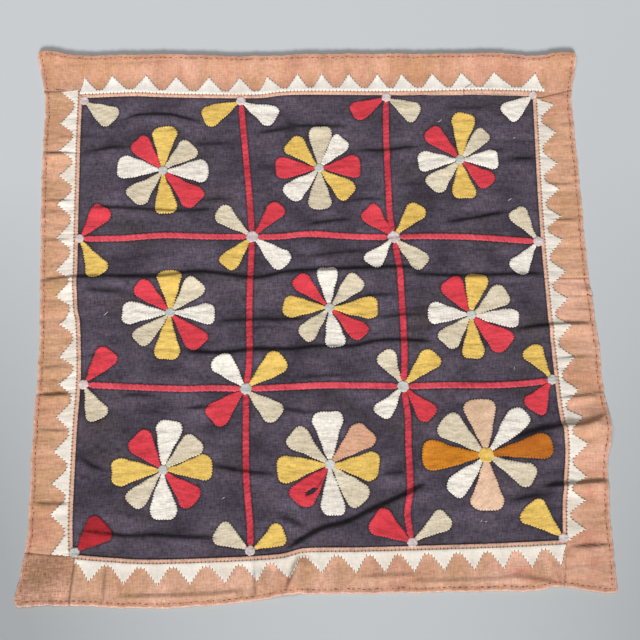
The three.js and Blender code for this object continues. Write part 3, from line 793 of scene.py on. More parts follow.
# Colour of the painted highlight along the hem's rolled rim.
HEM_RIM_HIGHLIGHT = "#eec7b1"
DyeRun = namedtuple("DyeRun", "x y half_wide half_high share")
DYE_RUNS = [
    DyeRun(321, -445, 20, 8, 0.6), DyeRun(290, -436, 30, 5, 0.3), DyeRun(345, -456, 26, 5, 0.35),
    DyeRun(436, -401, 16, 9, 0.45), DyeRun(440, -432, 11, 12, 0.4), DyeRun(440, -322, 14, 14, 0.35),
    DyeRun(430, -388, 26, 10, 0.4), DyeRun(436, -264, 26, 2.5, 0.4), DyeRun(445, -285, 20, 6, 0.2),
]


def dye_run(x, y):
    """Share of red dye that has run into the border from the strips when the panel was wet."""
    spots = [run.share * bell(x - run.x, run.half_wide) * bell(y - run.y, run.half_high) for run in DYE_RUNS]
    return np.max(spots, axis=0)


def margin_lift(outside):
    """How far the border rises near its inner edge, where it lies over the ground cloth."""
    return MARGIN_LIFT * (1 - ease(TAN_MARGIN, LIFT_REACH, outside))


def border_top(x, y):
    """Height of the border's face away from its hem."""
    return lie(x, y) + margin_lift(past_ground(x, y)[0]) + CLOTH


def rolled_down(roll, far):
    """How far a rolled edge lies below the face, at some distances from it."""
    return roll.depth * (1 - ease(0, roll.width, far))


def border_patch(length, cloth, offset):
    """One length of the border, with its doubled and gathered hem, its rolled edges and its painted shade."""
    x, y = np.moveaxis(filled(length), -1, 0)
    outside = np.maximum(past_ground(x, y)[0], 0)
    inside, number = from_hem(x, y)
    off_seam = from_seam(x, y)[0]
    off_stitches = inside - HEM_STITCH_LINE
    along = run_along(outer_loop)[number]
    under = lie(x, y) + margin_lift(outside)
    doubled = HEM_DOUBLE * (1 - ease(HEM_WIDTH - HEM_FALL, HEM_WIDTH + HEM_FALL, inside))
    pulled = GROOVE_DEPTH + GROOVE_PULL * np.cos(2 * np.pi * along / HEM_PITCH)
    rolled = rolled_down(HEM_ROLL, inside) + rolled_down(MARGIN_ROLL, outside)
    rolled = np.maximum(rolled, rolled_down(SEAM_ROLL, off_seam))
    gathers = np.sin(2 * np.pi * along / HEM_PUCKER + 1.7 * np.sin(along / 41)) * bell(inside, GATHER_REACH)
    drawn = bell(off_stitches, GROOVE_WIDTH) * pulled
    face = under + CLOTH + doubled - drawn - rolled + GATHER_HEIGHT * gathers
    weave = (x, y, offset) if length.weft == 0 else (y, x, offset)
    edge = np.minimum(inside, np.interp(outside, *MARGIN_EDGE_AND_HIGHLIGHT))
    uneven = 0.6 + 0.4 * np.sin(along / 5.3 + 2 * np.sin(along / 17))
    # Painted shade in the hem's stitch groove, along the seams and towards the two near corners.
    groove = GROOVE_SHADE.share * bell(off_stitches, GROOVE_SHADE.width)
    soil = uneven * np.maximum(groove, SEAM_SHADE.share * bell(off_seam, SEAM_SHADE.width))
    near_corner_shade = CORNER_SHADE * ease(*CORNER_ASIDE, np.abs(x)) * ease(*CORNER_NEAR, -y)
    return grid_patch(x, y, face, under, weave, edge, cloth, np.maximum(soil, near_corner_shade), dye_run(x, y))


for number, (name, length) in enumerate(LENGTHS.items()):
    light, dark, contrast = BORDER_SHADES[name]
    look = Look(light, dark, edge=HEM_SHADE, edge_reach=HEM_WIDTH + 3, edge_share=0.6, stain=BORDER_STAIN,
                contrast=contrast, crease=(60.0, 20.0), crease_depth=1.8, crease_dark=0.12, fold_dark=0.6,
                rim=HEM_RIM_HIGHLIGHT)
    patch = border_patch(length, cotton(f"tan_cotton_{name}", look), BORDER_WEAVE_STEP * number)
    lay("border", f"border_{name}_cloth", f"border_{name}", [patch])
print("border", made_triangles["border"], "triangles")

# %% [markdown]
# ## White saw-tooth strips
#
# Off-white strips cut into teeth by eye and sewn on the border, with their straight side along the tan
# margin. The turned edge of each tooth is whipped down every 6 mm or so, which makes scallops of it. Every
# strip is a grid whose outer row follows the teeth. Its tips are a table, because no two teeth are alike.

# %% Tooth tips
SawStrip = namedtuple("SawStrip", "axis start end tooth tips")
SAW_STRIPS = {
    "bottom": SawStrip(0, -388, 396, 27, [-362, -307, -256, -205, -149, -99, -53, 6, 61, 107, 153, 201, 249,
                                          295, 340, 387]),
    "right": SawStrip(1, -396, 373, 24, [-377, -329, -290, -242, -201, -152, -96, -41, 6, 54, 111, 153, 204,
                                         252, 310, 364]),
    "top": SawStrip(0, 415, -404, 27, [399, 326, 270, 219, 164, 121, 70, 22, -20, -68, -123, -178, -236,
                                       -290, -347, -396]),
    "left": SawStrip(1, 410, -404, 23, [406, 346, 295, 249, 195, 135, 77, 31, -15, -74, -123, -179, -236,
                                        -288, -338, -399]),
}
TOOTH_BASE = 8.0
TOOTH_LEAN = 0.44
TOOTH_CURVE = 1.05
TOOTH_SHARE = 0.8
TOOTH_STITCH = 6.0
TOOTH_NOTCH = 1.9
DRAWN_SHARE = 0.25
SAW_ROWS = np.array([0, 0.06, 0.2, 0.45, 0.7, 0.9, 1])
SAW_STEPS = 1300
STEPS_A_STITCH = 10
END_STEPS = 8
SAW_WEAVE_STEP = 40.0
RIM, LIP, FLAT = 0.15, 1.1, 0.95
LIP_REACH = 1.4
FLAT_BETWEEN = (1.6, 5.0)


def rise(inwards, thick=APPLIQUE):
    """Height of a sewn-on piece over its underside: turned edge at the rim, then a raised lip, then flat."""
    lip = (LIP - RIM) * ease(0, LIP_REACH, inwards)
    return thick * (RIM + lip - (LIP - FLAT) * ease(*FLAT_BETWEEN, inwards))


def tooth_height(strip, places):
    """How far the teeth reach outwards at each place along a strip."""
    tips = np.array(strip.tips, float)
    feet = np.r_[strip.start, tips[:-1] + TOOTH_LEAN * np.diff(tips), strip.end]
    way = np.sign(strip.end - strip.start)
    tooth = np.clip(np.searchsorted(way * feet, way * places, side="right") - 1, 0, len(tips) - 1)
    before = way * (places - tips[tooth]) < 0
    foot = np.where(before, feet[tooth], feet[tooth + 1])
    down = np.abs(places - tips[tooth]) / np.maximum(np.abs(foot - tips[tooth]), 1)
    return TOOTH_BASE + strip.tooth * np.clip(1 - down / TOOTH_SHARE, 0, 1) ** TOOTH_CURVE


def scalloped(places, high):
    """Teeth drawn in at every stitch along their edge, and the points that are stitched."""
    stitches = run_along(np.column_stack([places, high])) / TOOTH_STITCH % 1
    drawn = np.clip(1 - np.abs(stitches - 0.5) / DRAWN_SHARE, 0, 1)
    deepest = np.flatnonzero((drawn[1:-1] >= drawn[:-2]) & (drawn[1:-1] > drawn[2:])) + 1
    return high - TOOTH_NOTCH * drawn, deepest


# %% Saw-tooth strips
# Each side's white is the same cloth; the top strip is painted lightest, as painted light on the panel's
# brighter far side.
SAW_LIT_SHADES = {"bottom": ("#f3ebe0", "#e5dbcd"), "right": ("#f3ebe0", "#e6dccf"),
              "top": ("#fdf8f0", "#f3ebe0"), "left": ("#f8efe4", "#eadfd1")}
white_cotton = {
    side: cotton(f"white_cotton_{side}", Look(
        light, dark, edge=light, edge_reach=1.6, edge_share=0.5, stain="#e2d3bd", contrast=0.08,
        crease=(34.0, 14.0), crease_depth=1.0, crease_dark=0.07, fold_dark=0.35))
    for side, (light, dark) in SAW_LIT_SHADES.items()
}
tooth_stitches = []


def saw_patch(side, strip, offset):
    """One white strip, and the places of the stitches along its teeth and its straight side."""
    line = GROUND[side]
    first, last = line[0][strip.axis], line[-1][strip.axis]
    places = np.sort(np.r_[np.linspace(strip.start, strip.end, SAW_STEPS), strip.tips])
    places = places if strip.end > strip.start else places[::-1]
    share = (places - first) / (last - first)
    within = np.clip(share, 0, 1)
    gone = run_along(line)
    at, out = (points_at(within * gone[-1], gone, points) for points in (line, outwards_of(line)))
    at += np.column_stack([-out[:, 1], out[:, 0]]) * ((share - within) * gone[-1])[:, None]
    smooth = tooth_height(strip, places)
    high, stitched = scalloped(places, smooth)
    outwards = TAN_MARGIN + high[:, None] * SAW_ROWS
    plan = at[:, None] + out[:, None] * outwards[..., None]
    x, y = np.moveaxis(plan, -1, 0)
    slope = np.hypot(1, np.gradient(smooth, np.abs(run_along(at) + np.arange(len(at)) * 1e-6)))
    inwards = np.minimum(high[:, None] * SAW_ROWS, (high / slope)[:, None] * (1 - SAW_ROWS))
    ends = np.minimum(np.abs(places - strip.start), np.abs(places - strip.end))
    inwards = np.minimum(inwards, ends[:, None])
    under = border_top(x, y) + GAP
    tooth_stitches.extend((plan[i, -1], -out[i], under[i, -1] - GAP) for i in stitched)
    straight = range(END_STEPS, len(places) - END_STEPS, STEPS_A_STITCH)
    tooth_stitches.extend((plan[i, 0], out[i], under[i, 0] - GAP) for i in straight)
    weave = outwards, places[:, None], offset
    return grid_patch(x, y, under + rise(inwards), under, weave, inwards, white_cotton[side])


for number, (side, strip) in enumerate(SAW_STRIPS.items()):
    flat = (abs(strip.end - strip.start), TOOTH_BASE + strip.tooth)
    patch = saw_patch(side, strip, SAW_WEAVE_STEP * number)
    lay("sawtooth", f"sawtooth_{side}_cloth", f"sawtooth_{side}", [patch], flat)
print("saw-tooth strips", made_triangles["sawtooth"], "triangles,", len(tooth_stitches), "stitches")

# %% [markdown]
# ## Flowers and crossings
#
# Nine flowers of eight petals fill the squares, and single, paired or fourfold petals sit where the red
# strips cross. Each petal is a drop shape: a pointed root under the disc, nearly straight sides, and a blunt
# end, with a waver and a lean because it was cut by hand. The edge was turned under and whipped to the
# ground, which leaves small scallops with a notch at each stitch. A petal is drawn as rings from its outline
# to a short seam along its middle, so the rim can be raised and notched.

# %% Where the crossings and flowers are
Crossing = namedtuple("Crossing", "at disc petals")
CROSSINGS = [
    [Crossing((-396, 388), 8, [(-36, 66, 22, "ecru")]),
     Crossing((-120, 381), 8.5, [(205, 74, 21, "yellow"), (-31, 70, 21, "white")]),
     Crossing((136, 382), 8.5, [(206, 67, 19, "red"), (-31, 65, 20, "ecru")]),
     Crossing((394, 380), 7.5, [(216, 63, 21, "white")])],
    [Crossing((-397, 132), 8, [(52, 70, 20, "red"), (-59, 75, 20, "yellow")]),
     Crossing((-102, 129), 10.5, [(141, 76, 18, "ecru"), (48, 76, 16, "red"), (228, 72, 18, "yellow"),
                                  (-41, 78, 20, "white")]),
     Crossing((140, 122), 11, [(131, 71, 19, "red"), (51, 75, 18, "yellow"), (229, 63, 17, "white"),
                               (-46, 73, 18, "ecru")]),
     Crossing((386, 109), 9, [(122, 70, 17, "ecru"), (229, 68, 18, "white")])],
    [Crossing((-383, -124), 8.5, [(53, 72, 21, "red"), (-64, 64, 20, "ecru")]),
     Crossing((-114, -137), 10, [(130, 73, 20, "white"), (41, 81, 21, "yellow"), (220, 78, 22, "red"),
                                 (-44, 73, 20, "ecru")]),
     Crossing((146, -139), 10, [(117, 67, 17, "ecru"), (46, 79, 19, "yellow"), (230, 63, 17, "white"),
                                (-48, 70, 18, "red")]),
     Crossing((393, -133), 8.5, [(121, 67, 18, "yellow"), (232, 62, 21, "red")])],
    [Crossing((-390, -399), 8.5, [(44, 66, 26, "wine")]),
     Crossing((-109, -402), 8.5, [(147, 64, 21, "ecru"), (27, 62, 19, "yellow")]),
     Crossing((151, -395), 8.5, [(146, 75, 23, "red"), (36, 73, 18, "ecru")]),
     Crossing((393, -393), 8, [(135, 76, 25, "yellow")])],
]
STRIP_BENDS = {
    "strip_across_1_0": [(0.25, 0), (0.5, 4.5), (0.75, 1)],
    "strip_across_1_1": [(0.2, 0.5), (0.4, 5), (0.75, 1)],
    "strip_across_1_2": [(0.2, 3.5), (0.5, 4.5), (0.8, 2)],
    "strip_across_2_0": [(0.3, -1.5), (0.6, -2.5), (0.8, 0)],
    "strip_across_2_1": [(0.25, 2), (0.5, 4), (0.8, 2.5)],
    "strip_across_2_2": [(0.25, -0.5), (0.6, -4.5), (0.85, -3.5)],
    "strip_down_1_0": [(0.3, 0.5), (0.7, 1)],
    "strip_down_1_1": [(0.4, 0), (0.6, 1.5), (0.8, 4)],
    "strip_down_1_2": [(0.2, -1.5), (0.55, -3), (0.85, 1)],
    "strip_down_2_0": [(0.25, -3.5), (0.6, -4.5), (0.85, -4.5)],
    "strip_down_2_1": [(0.2, 6), (0.45, 7), (0.8, 5.5)],
    "strip_down_2_2": [(0.2, 5), (0.4, 3), (0.65, 2), (0.82, -5)],
}
Flower = namedtuple("Flower", "at disc middle strays reaches halves cloths")
SPRING = ["white", "ecru", "yellow", "red"] * 2
FLOWERS = [
    [Flower((-256, 254), 8.5, "grey", [-2, -2, -1, -5, -8, 2, 5, 0], [79, 70, 82, 76, 80, 75, 81, 86],
            [22, 20, 22, 19, 22, 22, 20, 22], SPRING),
     Flower((15, 252), 8.5, "grey", [2, 5, -2, 0, 0, 0, 0, 2], [71, 71, 76, 73, 75, 76, 76, 75],
            [22, 18, 21, 20, 21, 20, 21, 20], ["red", "white", "ecru", "yellow"] * 2),
     Flower((260, 262), 8.5, "grey", [1, 1, -7, -3, 1, 1, 3, 3], [67, 71, 87, 79, 74, 74, 73, 69],
            [18, 16, 21, 18, 19, 20, 21, 18], SPRING)],
    [Flower((-241, -3), 8.5, "grey", [-2, 2, 0, 1, -2, -2, -5, -3], [75, 72, 76, 76, 82, 74, 82, 78],
            [19, 20, 21, 17, 20, 18, 22, 21], SPRING),
     Flower((27, -1), 8.5, "grey", [-2, -1, 2, -1, -4, 2, 9, 4], [82, 74, 73, 76, 78, 69, 70, 76],
            [20, 18, 18, 16, 20, 17, 18, 17], ["yellow", "ecru", "white", "red"] * 2),
     Flower((265, -18), 8.5, "grey", [-7, -14, -10, -13, -4, 1, 1, 0], [81, 73, 73, 71, 73, 70, 77, 81],
            [17, 20, 20, 21, 20, 20, 19, 23], SPRING)],
    [Flower((-250, -269), 8.5, "grey", [2, -4, -7, -5, 1, 2, 0, 0], [80, 76, 83, 74, 85, 75, 81, 75],
            [22, 20, 22, 23, 23, 19, 23, 21], ["yellow", "ecru", "white", "red"] * 2),
     Flower((22, -266), 9, "grey", [-5, -3, 2, 5, 4, 3, 2, -4], [80, 87, 88, 82, 87, 83, 84, 83],
            [25, 24, 26, 21, 23, 23, 20, 22],
            ["yellow", "tan", "white", "ecru", "yellow", "red", "white", "ecru"]),
     Flower((277, -256), 13, "yellow", [8, 2, 4, 4, 0, 0, -1, 16], [109, 99, 94, 91, 104, 86, 90, 86],
            [21, 20, 27, 24, 26, 19, 28, 20],
            ["rust", "white", "sand", "ecru", "orange", "white", "pink", "ecru"])],
]
Hole = namedtuple("Hole", "flower petal at long short turn")
HOLE = Hole("flower_2_1", 5, (-9, -309), 11, 4, 28)

# %% Cottons of the petals
PETAL_SHADES = {
    "white": ("#f8f0e5", "#e8dfd2"), "ecru": ("#e4d7be", "#d1c2a6"), "yellow": ("#f2cd6d", "#dfb65a"),
    "red": ("#e84753", "#cd3642"), "wine": ("#bd2832", "#a11f29"), "tan": ("#e2ae8f", "#d09b7b"),
    "rust": ("#cd7a22", "#a85a14"), "orange": ("#e2912a", "#c87a1a"), "sand": ("#e8c4a5", "#d5b091"),
    "pink": ("#f6d0b1", "#e6bc9e"), "grey": ("#d3d2cb", "#bcbdb8"), "lilac": ("#e0ceca", "#cebfbf"),
}
# The paler edge within 1.6 mm of a petal's or disc's outline is a painted highlight along its raised rim.
petal_cotton = {
    name: cotton(f"{name}_petal_cotton", Look(
        light, dark, edge=light, edge_reach=1.6, edge_share=0.6, stain=dark, contrast=0.17,
        crease=(24.0, 12.0), crease_depth=1.6, crease_dark=0.08, fold_dark=0.28))
    for name, (light, dark) in PETAL_SHADES.items()
}
print(len(petal_cotton), "petal cottons")

# %% Outline of a petal
PETAL_ROOT = 4.0
ROOT_HALF = 1.4
PETAL_WIDEST = 0.8
PETAL_SIDE = 0.95
OUTLINE_STEPS = 60
PETAL_BLUNT = (0.4, 0.58)
PETAL_LEAN = 2.4
PETAL_WAVER = ((0.85, 12.0), (0.5, 5.7), (0.35, 2.7))
PETAL_SEAM = (0.3, 0.82)
PETAL_STITCH = 4.7
POINTS_A_STITCH = 3
NOTCH = 1.25
NOTCH_RANGE = (0.35, 1.45)
chance = np.random.default_rng(7)


def petal_outline(reach, half):
    """A petal along +X: its outline with a notch at every stitch, and where each point moves to inside it."""
    wide = PETAL_WIDEST * reach
    taper = np.linspace(PETAL_ROOT, wide, OUTLINE_STEPS)
    angle = np.linspace(0, np.pi / 2, OUTLINE_STEPS)[1:]
    along = np.r_[taper, wide + (reach - wide) * np.sin(angle)]
    side = ROOT_HALF + (half - ROOT_HALF) * ((taper - PETAL_ROOT) / (wide - PETAL_ROOT)) ** PETAL_SIDE
    across = np.r_[side, half * np.clip(np.cos(angle), 0, 1) ** chance.uniform(*PETAL_BLUNT)]
    drawn = np.column_stack([along, across])
    stitches = round(run_along(drawn)[-1] / PETAL_STITCH)
    drawn = stretch(drawn, count=POINTS_A_STITCH * stitches + 1)
    loop = np.vstack([drawn * (1, -1), drawn[::-1][1:]])
    seam = [share * reach for share in PETAL_SEAM]
    middle = np.column_stack([np.clip(loop[:, 0], *seam), np.zeros(len(loop))])
    number = np.arange(len(loop))
    waver = sum(size * np.sin(number / slow + chance.uniform(0, 6)) for size, slow in PETAL_WAVER)
    inwards = middle - loop
    inwards /= np.hypot(*inwards.T)[:, None]
    notch = NOTCH * (number % POINTS_A_STITCH == 0) * chance.uniform(*NOTCH_RANGE, len(loop))
    loop = loop + inwards * (notch + waver)[:, None]
    loop[:, 1] += PETAL_LEAN * chance.uniform(-1, 1) * (loop[:, 0] / reach) ** 3
    return loop, middle


# %% A petal, notched and raised at its rim
STRIP_HALF = 5.2
INSETS = (0.0, 0.5, 1.3, 2.8)
INSET_SHARES = (0.0, 0.12, 0.3, 0.5)
INNER_SHARES = (0.2, 0.4, 0.6, 0.8, 1.0)
STITCH_PULL = (0, 0.35, 0.245, 0.07, 0, 0, 0, 0, 0)
PETAL_UNDERSIDE = (0, 3, 5, 8)
TUCKED_SHARE = 0.45
UNDER_DISC = 14.0
THICK_BETWEEN = (6, 18)
OFF_CROSSING = (16, 24)
OVER_STRIP_FALL = 4.0
petal_stitches = []
sewn_outlines = []
strip_ends = {f"strip_across_{row}_{c}": CROSSINGS[row][c:c + 2] for row in (1, 2) for c in range(3)}
strip_ends |= {f"strip_down_{column}_{r}": (CROSSINGS[r][column], CROSSINGS[r + 1][column])
               for column in (1, 2) for r in range(3)}
strip_lines = {name: bent_line(a.at, b.at, STRIP_BENDS[name]) for name, (a, b) in strip_ends.items()}
from_strip = ruler(np.vstack(list(strip_lines.values())))


def over_strips(x, y, away):
    """How far a petal is lifted where it lies on a red strip, away from the strips' crossing."""
    near = 1 - ease(STRIP_HALF, STRIP_HALF + OVER_STRIP_FALL, from_strip(x, y)[0])
    return (APPLIQUE + GAP) * near * ease(*OFF_CROSSING, away)


def hole_rim(hole, loop):
    """The ragged rim of a hole, as seen from each point of the outline around it."""
    angle = np.arctan2(loop[:, 1] - hole.at[1], loop[:, 0] - hole.at[0])
    ragged = 1 + 0.12 * np.sin(5 * angle) + 0.08 * np.sin(11 * angle + 1)
    lean = angle - math.radians(hole.turn)
    oval = turned(hole.long * np.cos(lean) * ragged, hole.short * np.sin(lean) * ragged, hole.turn)
    return np.column_stack(oval) + hole.at


def petal_patch(at, bearing, reach, half, cloth, grain, hole=None):
    """One petal at its place, with its stitches noted."""
    loop, middle = (np.column_stack(turned(*line.T, bearing)) + at for line in petal_outline(reach, half))
    if hole:
        middle = hole_rim(hole, loop)
    inwards = middle - loop
    far = np.hypot(*inwards.T)
    inwards /= far[:, None]
    steps = [np.minimum(inset, share * far) for inset, share in zip(INSETS, INSET_SHARES)]
    steps += [steps[-1] + (far - steps[-1]) * share for share in INNER_SHARES]
    notched = np.arange(len(loop)) % POINTS_A_STITCH == 0
    rings = []
    for step, pull in zip(steps, STITCH_PULL):
        plan = loop + inwards * step[:, None]
        x, y = plan.T
        away = np.hypot(x - at[0], y - at[1])
        under = lie(x, y) + CLOTH + GAP + over_strips(x, y, away)
        thick = APPLIQUE * (TUCKED_SHARE + (1 - TUCKED_SHARE) * ease(*THICK_BETWEEN, away))
        face = under + rise(step, thick) - pull * notched * thick
        rings.append(Ring(plan, face, under, np.minimum(step, far - step) if hole else step))
    shown = np.flatnonzero(notched & (np.hypot(*(loop - at).T) > UNDER_DISC))
    petal_stitches.extend((loop[i], inwards[i], rings[0].under[i] - GAP) for i in shown)
    sewn_outlines.append((loop, -inwards))
    return ring_patch(rings, PETAL_UNDERSIDE, grain, bearing + at[0], petal_cotton[cloth], bool(hole))


# %% A small disc over the roots
DISC_POINTS = 36
DISC_SCALLOPS = 9
DISC_WAVER = 0.05
DISC_LIFT = 0.8
DISC_CROWN = 0.5
DISC_INNER = 0.55
DISC_STITCH_DEPTH = 0.6
DISC_UNDERSIDE = (0, 3, 5)
BORDER_STEP = 1.4
BORDER_STEPS = ((-4, 1), (3.5, 6))
disc_stitches = []


def disc_patch(at, radius, cloth):
    """The small disc that covers the petals' roots, raised in its middle and over the border's edge."""
    angle = np.linspace(0, 2 * np.pi, DISC_POINTS, endpoint=False)
    uneven = np.cos(6 * angle + at[0]) - np.abs(np.cos(DISC_SCALLOPS * angle / 2))
    edge_radius = radius * (1 + DISC_WAVER * uneven)
    spoke = np.column_stack([np.cos(angle), np.sin(angle)])
    rings = []
    for inset in (*INSETS, DISC_INNER * radius, radius):
        plan = at + spoke * (edge_radius * (1 - inset / radius))[:, None]
        x, y = plan.T
        outside = past_ground(x, y)[0]
        steps = BORDER_STEP * sum(ease(*between, outside) for between in BORDER_STEPS)
        under = lie(x, y) + CLOTH + GAP + DISC_LIFT + steps
        crown = DISC_CROWN * min(inset / radius * 2, 1)
        rings.append(Ring(plan, under + rise(inset) + crown, under, np.full(DISC_POINTS, inset)))
    shown = range(0, DISC_POINTS, DISC_POINTS // DISC_SCALLOPS)
    disc_stitches.extend((rings[0].plan[i], -spoke[i], rings[0].under[i] - DISC_STITCH_DEPTH) for i in shown)
    return ring_patch(rings, DISC_UNDERSIDE, 0.0, at[1], petal_cotton[cloth])


# %% Sew on flowers and crossings
GREY_DISCS = [(2, 1), (2, 2), (2, 3), (3, 0)]
SLANTING_GRAIN = 55.0
STRAIGHT_GRAIN = (-12, 12)


def sew_on(kind, name, at, petals, disc, disc_cloth):
    """The petals and the disc of one flower or crossing. Two cloths were cut on the slant."""
    at = np.array(at, float)
    patches = []
    for number, (bearing, reach, half, cloth) in enumerate(petals):
        grain = SLANTING_GRAIN if cloth in ("sand", "pink") else chance.uniform(*STRAIGHT_GRAIN)
        hole = HOLE if (name, number) == (HOLE.flower, HOLE.petal) else None
        patches.append(petal_patch(at, bearing, reach, half, cloth, grain, hole))
    patches.append(disc_patch(at, disc, disc_cloth))
    lay(kind, f"{name}_petals", name, patches, weld=True)


for r, row in enumerate(FLOWERS):
    for c, flower in enumerate(row):
        bearings = [45.0 * k + stray for k, stray in enumerate(flower.strays)]
        petals = zip(bearings, flower.reaches, flower.halves, flower.cloths)
        sew_on("flowers", f"flower_{r}_{c}", flower.at, petals, flower.disc, flower.middle)
for r, row in enumerate(CROSSINGS):
    for c, crossing in enumerate(row):
        disc_cloth = "grey" if (r, c) in GREY_DISCS else "lilac"
        sew_on("crossings", f"crossing_{r}_{c}", crossing.at, crossing.petals, crossing.disc, disc_cloth)
print("flowers", made_triangles["flowers"], "and crossings", made_triangles["crossings"], "triangles")

# %% [markdown]
# ## Red grid
#
# The grid is a narrow red strip with both sides turned under, about 10 mm wide, laid from crossing to
# crossing. It was drawn in by its stitches, so it is puckered: light and dark bars cross it every 9 mm or
# so, and its edges wave. The strips from side to side have faded more than those that run down. Each strip
# is a grid of points along its bent line.

# %% Strips from crossing to crossing
FADED_RED = Look("#eb5967", "#d94452", edge="#ec7580", edge_reach=1.4, edge_share=0.4, stain="#d54754",
                 contrast=0.16, crease=(14.0, 6.0), crease_depth=1.2, crease_dark=0.22, fold_dark=0.4)
RED = FADED_RED._replace(light="#e24656", dark="#c73444", edge="#e05666", edge_share=0.35, stain="#bd303f",
                         crease_dark=0.34)
red_strip_cotton = {"across": cotton("faded_red_strip_cotton", FADED_RED),
                    "down": cotton("red_strip_cotton", RED)}
STRIP_ROWS = np.array([-1, -0.93, -0.8, -0.5, -0.2, 0.2, 0.5, 0.8, 0.93, 1])
STRIP_STEP = 1.9
STRIP_TUCK = 1.5
TUCK_LENGTH = 9.0
TUCKED_HALF = 0.55
PUCKER = 9.0
PUCKER_WIDTH = 0.4
PUCKER_SLANT = 0.3
PUCKER_SWAY = 4.0
SWAY_RADIAN = 17.0
PUCKER_HEIGHT = 0.22
STRIP_SHIFT = 0.9
STRIP_WEAVE_STEP = 31.0
strip_stitches = []


def strip_patch(line, discs, offset, cloth):
    """One red strip along its line, from under one disc to under the next."""
    long = run_along(line)[-1]
    gone = np.linspace(discs[0] - STRIP_TUCK, long - discs[1] + STRIP_TUCK, int(long / STRIP_STEP))
    middle = points_at(gone, run_along(line), line)
    left = -outwards_of(middle)
    tucked = ease(0, TUCK_LENGTH, np.minimum(gone - gone[0], gone[-1] - gone))
    half = STRIP_HALF * (TUCKED_HALF + (1 - TUCKED_HALF) * tucked)
    half += PUCKER_WIDTH * np.sin(2 * np.pi * gone / PUCKER + offset)
    across = half[:, None] * STRIP_ROWS
    plan = middle[:, None] + left[:, None] * across[..., None]
    x, y = np.moveaxis(plan, -1, 0)
    inwards = half[:, None] * (1 - np.abs(STRIP_ROWS))
    under = lie(x, y) + CLOTH + GAP
    slanted = gone[:, None] + PUCKER_SLANT * across
    uneven = slanted + PUCKER_SWAY * np.sin(gone / SWAY_RADIAN + 2 * offset)[:, None]
    puckers = PUCKER_HEIGHT * np.sin(2 * np.pi * uneven / PUCKER + offset) * ease(0, 2, inwards)
    thick = APPLIQUE * (TUCKED_SHARE + (1 - TUCKED_SHARE) * tucked)[:, None]
    for edge, way in ((0, 1.0), (-1, -1.0)):
        sewn_outlines.append((plan[:, edge], -way * left))
        strip_stitches.extend((plan[i, edge], way * left[i], under[i, edge] - GAP)
                              for i in range(4, len(gone) - 4, 3))
    face = under + rise(inwards, thick) + puckers * thick
    return grid_patch(x, y, face, under, (across, slanted, STRIP_WEAVE_STEP * offset), inwards, cloth)


for number, (name, (a, b)) in enumerate(strip_ends.items()):
    line = strip_lines[name]
    cloth = red_strip_cotton["across" if "across" in name else "down"]
    patch = strip_patch(line, (a.disc, b.disc), STRIP_SHIFT * number, cloth)
    flat = (run_along(line)[-1], 2 * STRIP_HALF)
    lay("strips", f"{name}_red", name, [patch], flat)
print("red strips", made_triangles["strips"], "triangles")

# %% [markdown]
# ## Dark ground cloth
#
# One square of faded violet-grey cotton. It is drawn down along every sewn edge and kept its darker dye
# there, with painted contact shade added, so each petal, strip and margin has a thin dark line round it. The
# cloth is a grid that carries the distance to the nearest sewn edge; the sheet dips near it, and the colour
# is darker there, partly dye and partly painted shade.

# %% Ground cloth
TUCK = 4.0
GROUND_HALF = 395.0
CORNER_POINTS = 8
DIP = 0.45
DIP_WIDTH = 5.0
GROUND_COLUMNS = 160
GROUND_ROWS = 300
# Its edge colour is the darker dye beside sewn edges together with painted contact shade; its crease and fold
# darkening are painted shade.
INDIGO = Look("#605564", "#3b333e", edge="#1f1a21", edge_reach=4.0, edge_share=0.75, stain="#4b4243",
              contrast=0.5, crease=(55.0, 30.0), crease_depth=2.6, crease_dark=0.2, fold_dark=0.76)
indigo_cotton = cotton("faded_indigo_cotton", INDIGO)
sewn_points = np.vstack([loop for loop, _ in sewn_outlines] + [ground_loop[::2]])
sewn_outwards = np.vstack([outwards for _, outwards in sewn_outlines] + [-outwards_of(ground_loop)[::2]])
past_sewn = signed_ruler(sewn_points, sewn_outwards)


def ground_patch():
    """The ground cloth, whose edge is a little under the border, drawn down along every sewn edge."""
    sides = {side: line + TUCK * outwards_of(line) for side, line in GROUND.items()}
    corner = {side: np.array(GROUND_EDGE[side].corner, float) * (1 + TUCK / GROUND_HALF) for side in GROUND}
    for side, after in zip(sides, [*list(sides)[1:], "bottom"]):
        sides[side] = np.vstack([corner[side], sides[side][CORNER_POINTS:-CORNER_POINTS], corner[after]])
    square = Length(sides["bottom"], sides["top"][::-1], sides["left"][::-1], sides["right"],
                    GROUND_COLUMNS, GROUND_ROWS, 0)
    x, y = np.moveaxis(filled(square, hemmed=False), -1, 0)
    near = past_sewn(x, y)[0]
    under = lie(x, y)
    face = under + CLOTH - DIP * (1 - ease(0, DIP_WIDTH, np.abs(near)))
    return grid_patch(x, y, face, under, (x, y, 0.0), np.maximum(near, 0), indigo_cotton)


lay("ground", "ground_cloth_quilted", "ground_cloth", [ground_patch()])
print("ground", made_triangles["ground"], "triangles")

# %% [markdown]
# ## Stitches
#
# Thread is what holds it all: dark whip stitches at the notches of the petals and along strips, discs and the
# tan margin, brown ones on the teeth, pink ones over two seams of the border, and a red-brown running stitch
# in the hem. Each stitch is a short three-sided tube that comes out of the cloth, crosses the edge and goes
# back in. The stitches of one kind are one piece of thread.

# %% Thread and short stitches
RIM_PLACE = 0.4
OUT_OF_CLOTH = 0.05
INTO_PIECE = 0.25
THIN_END = 0.6


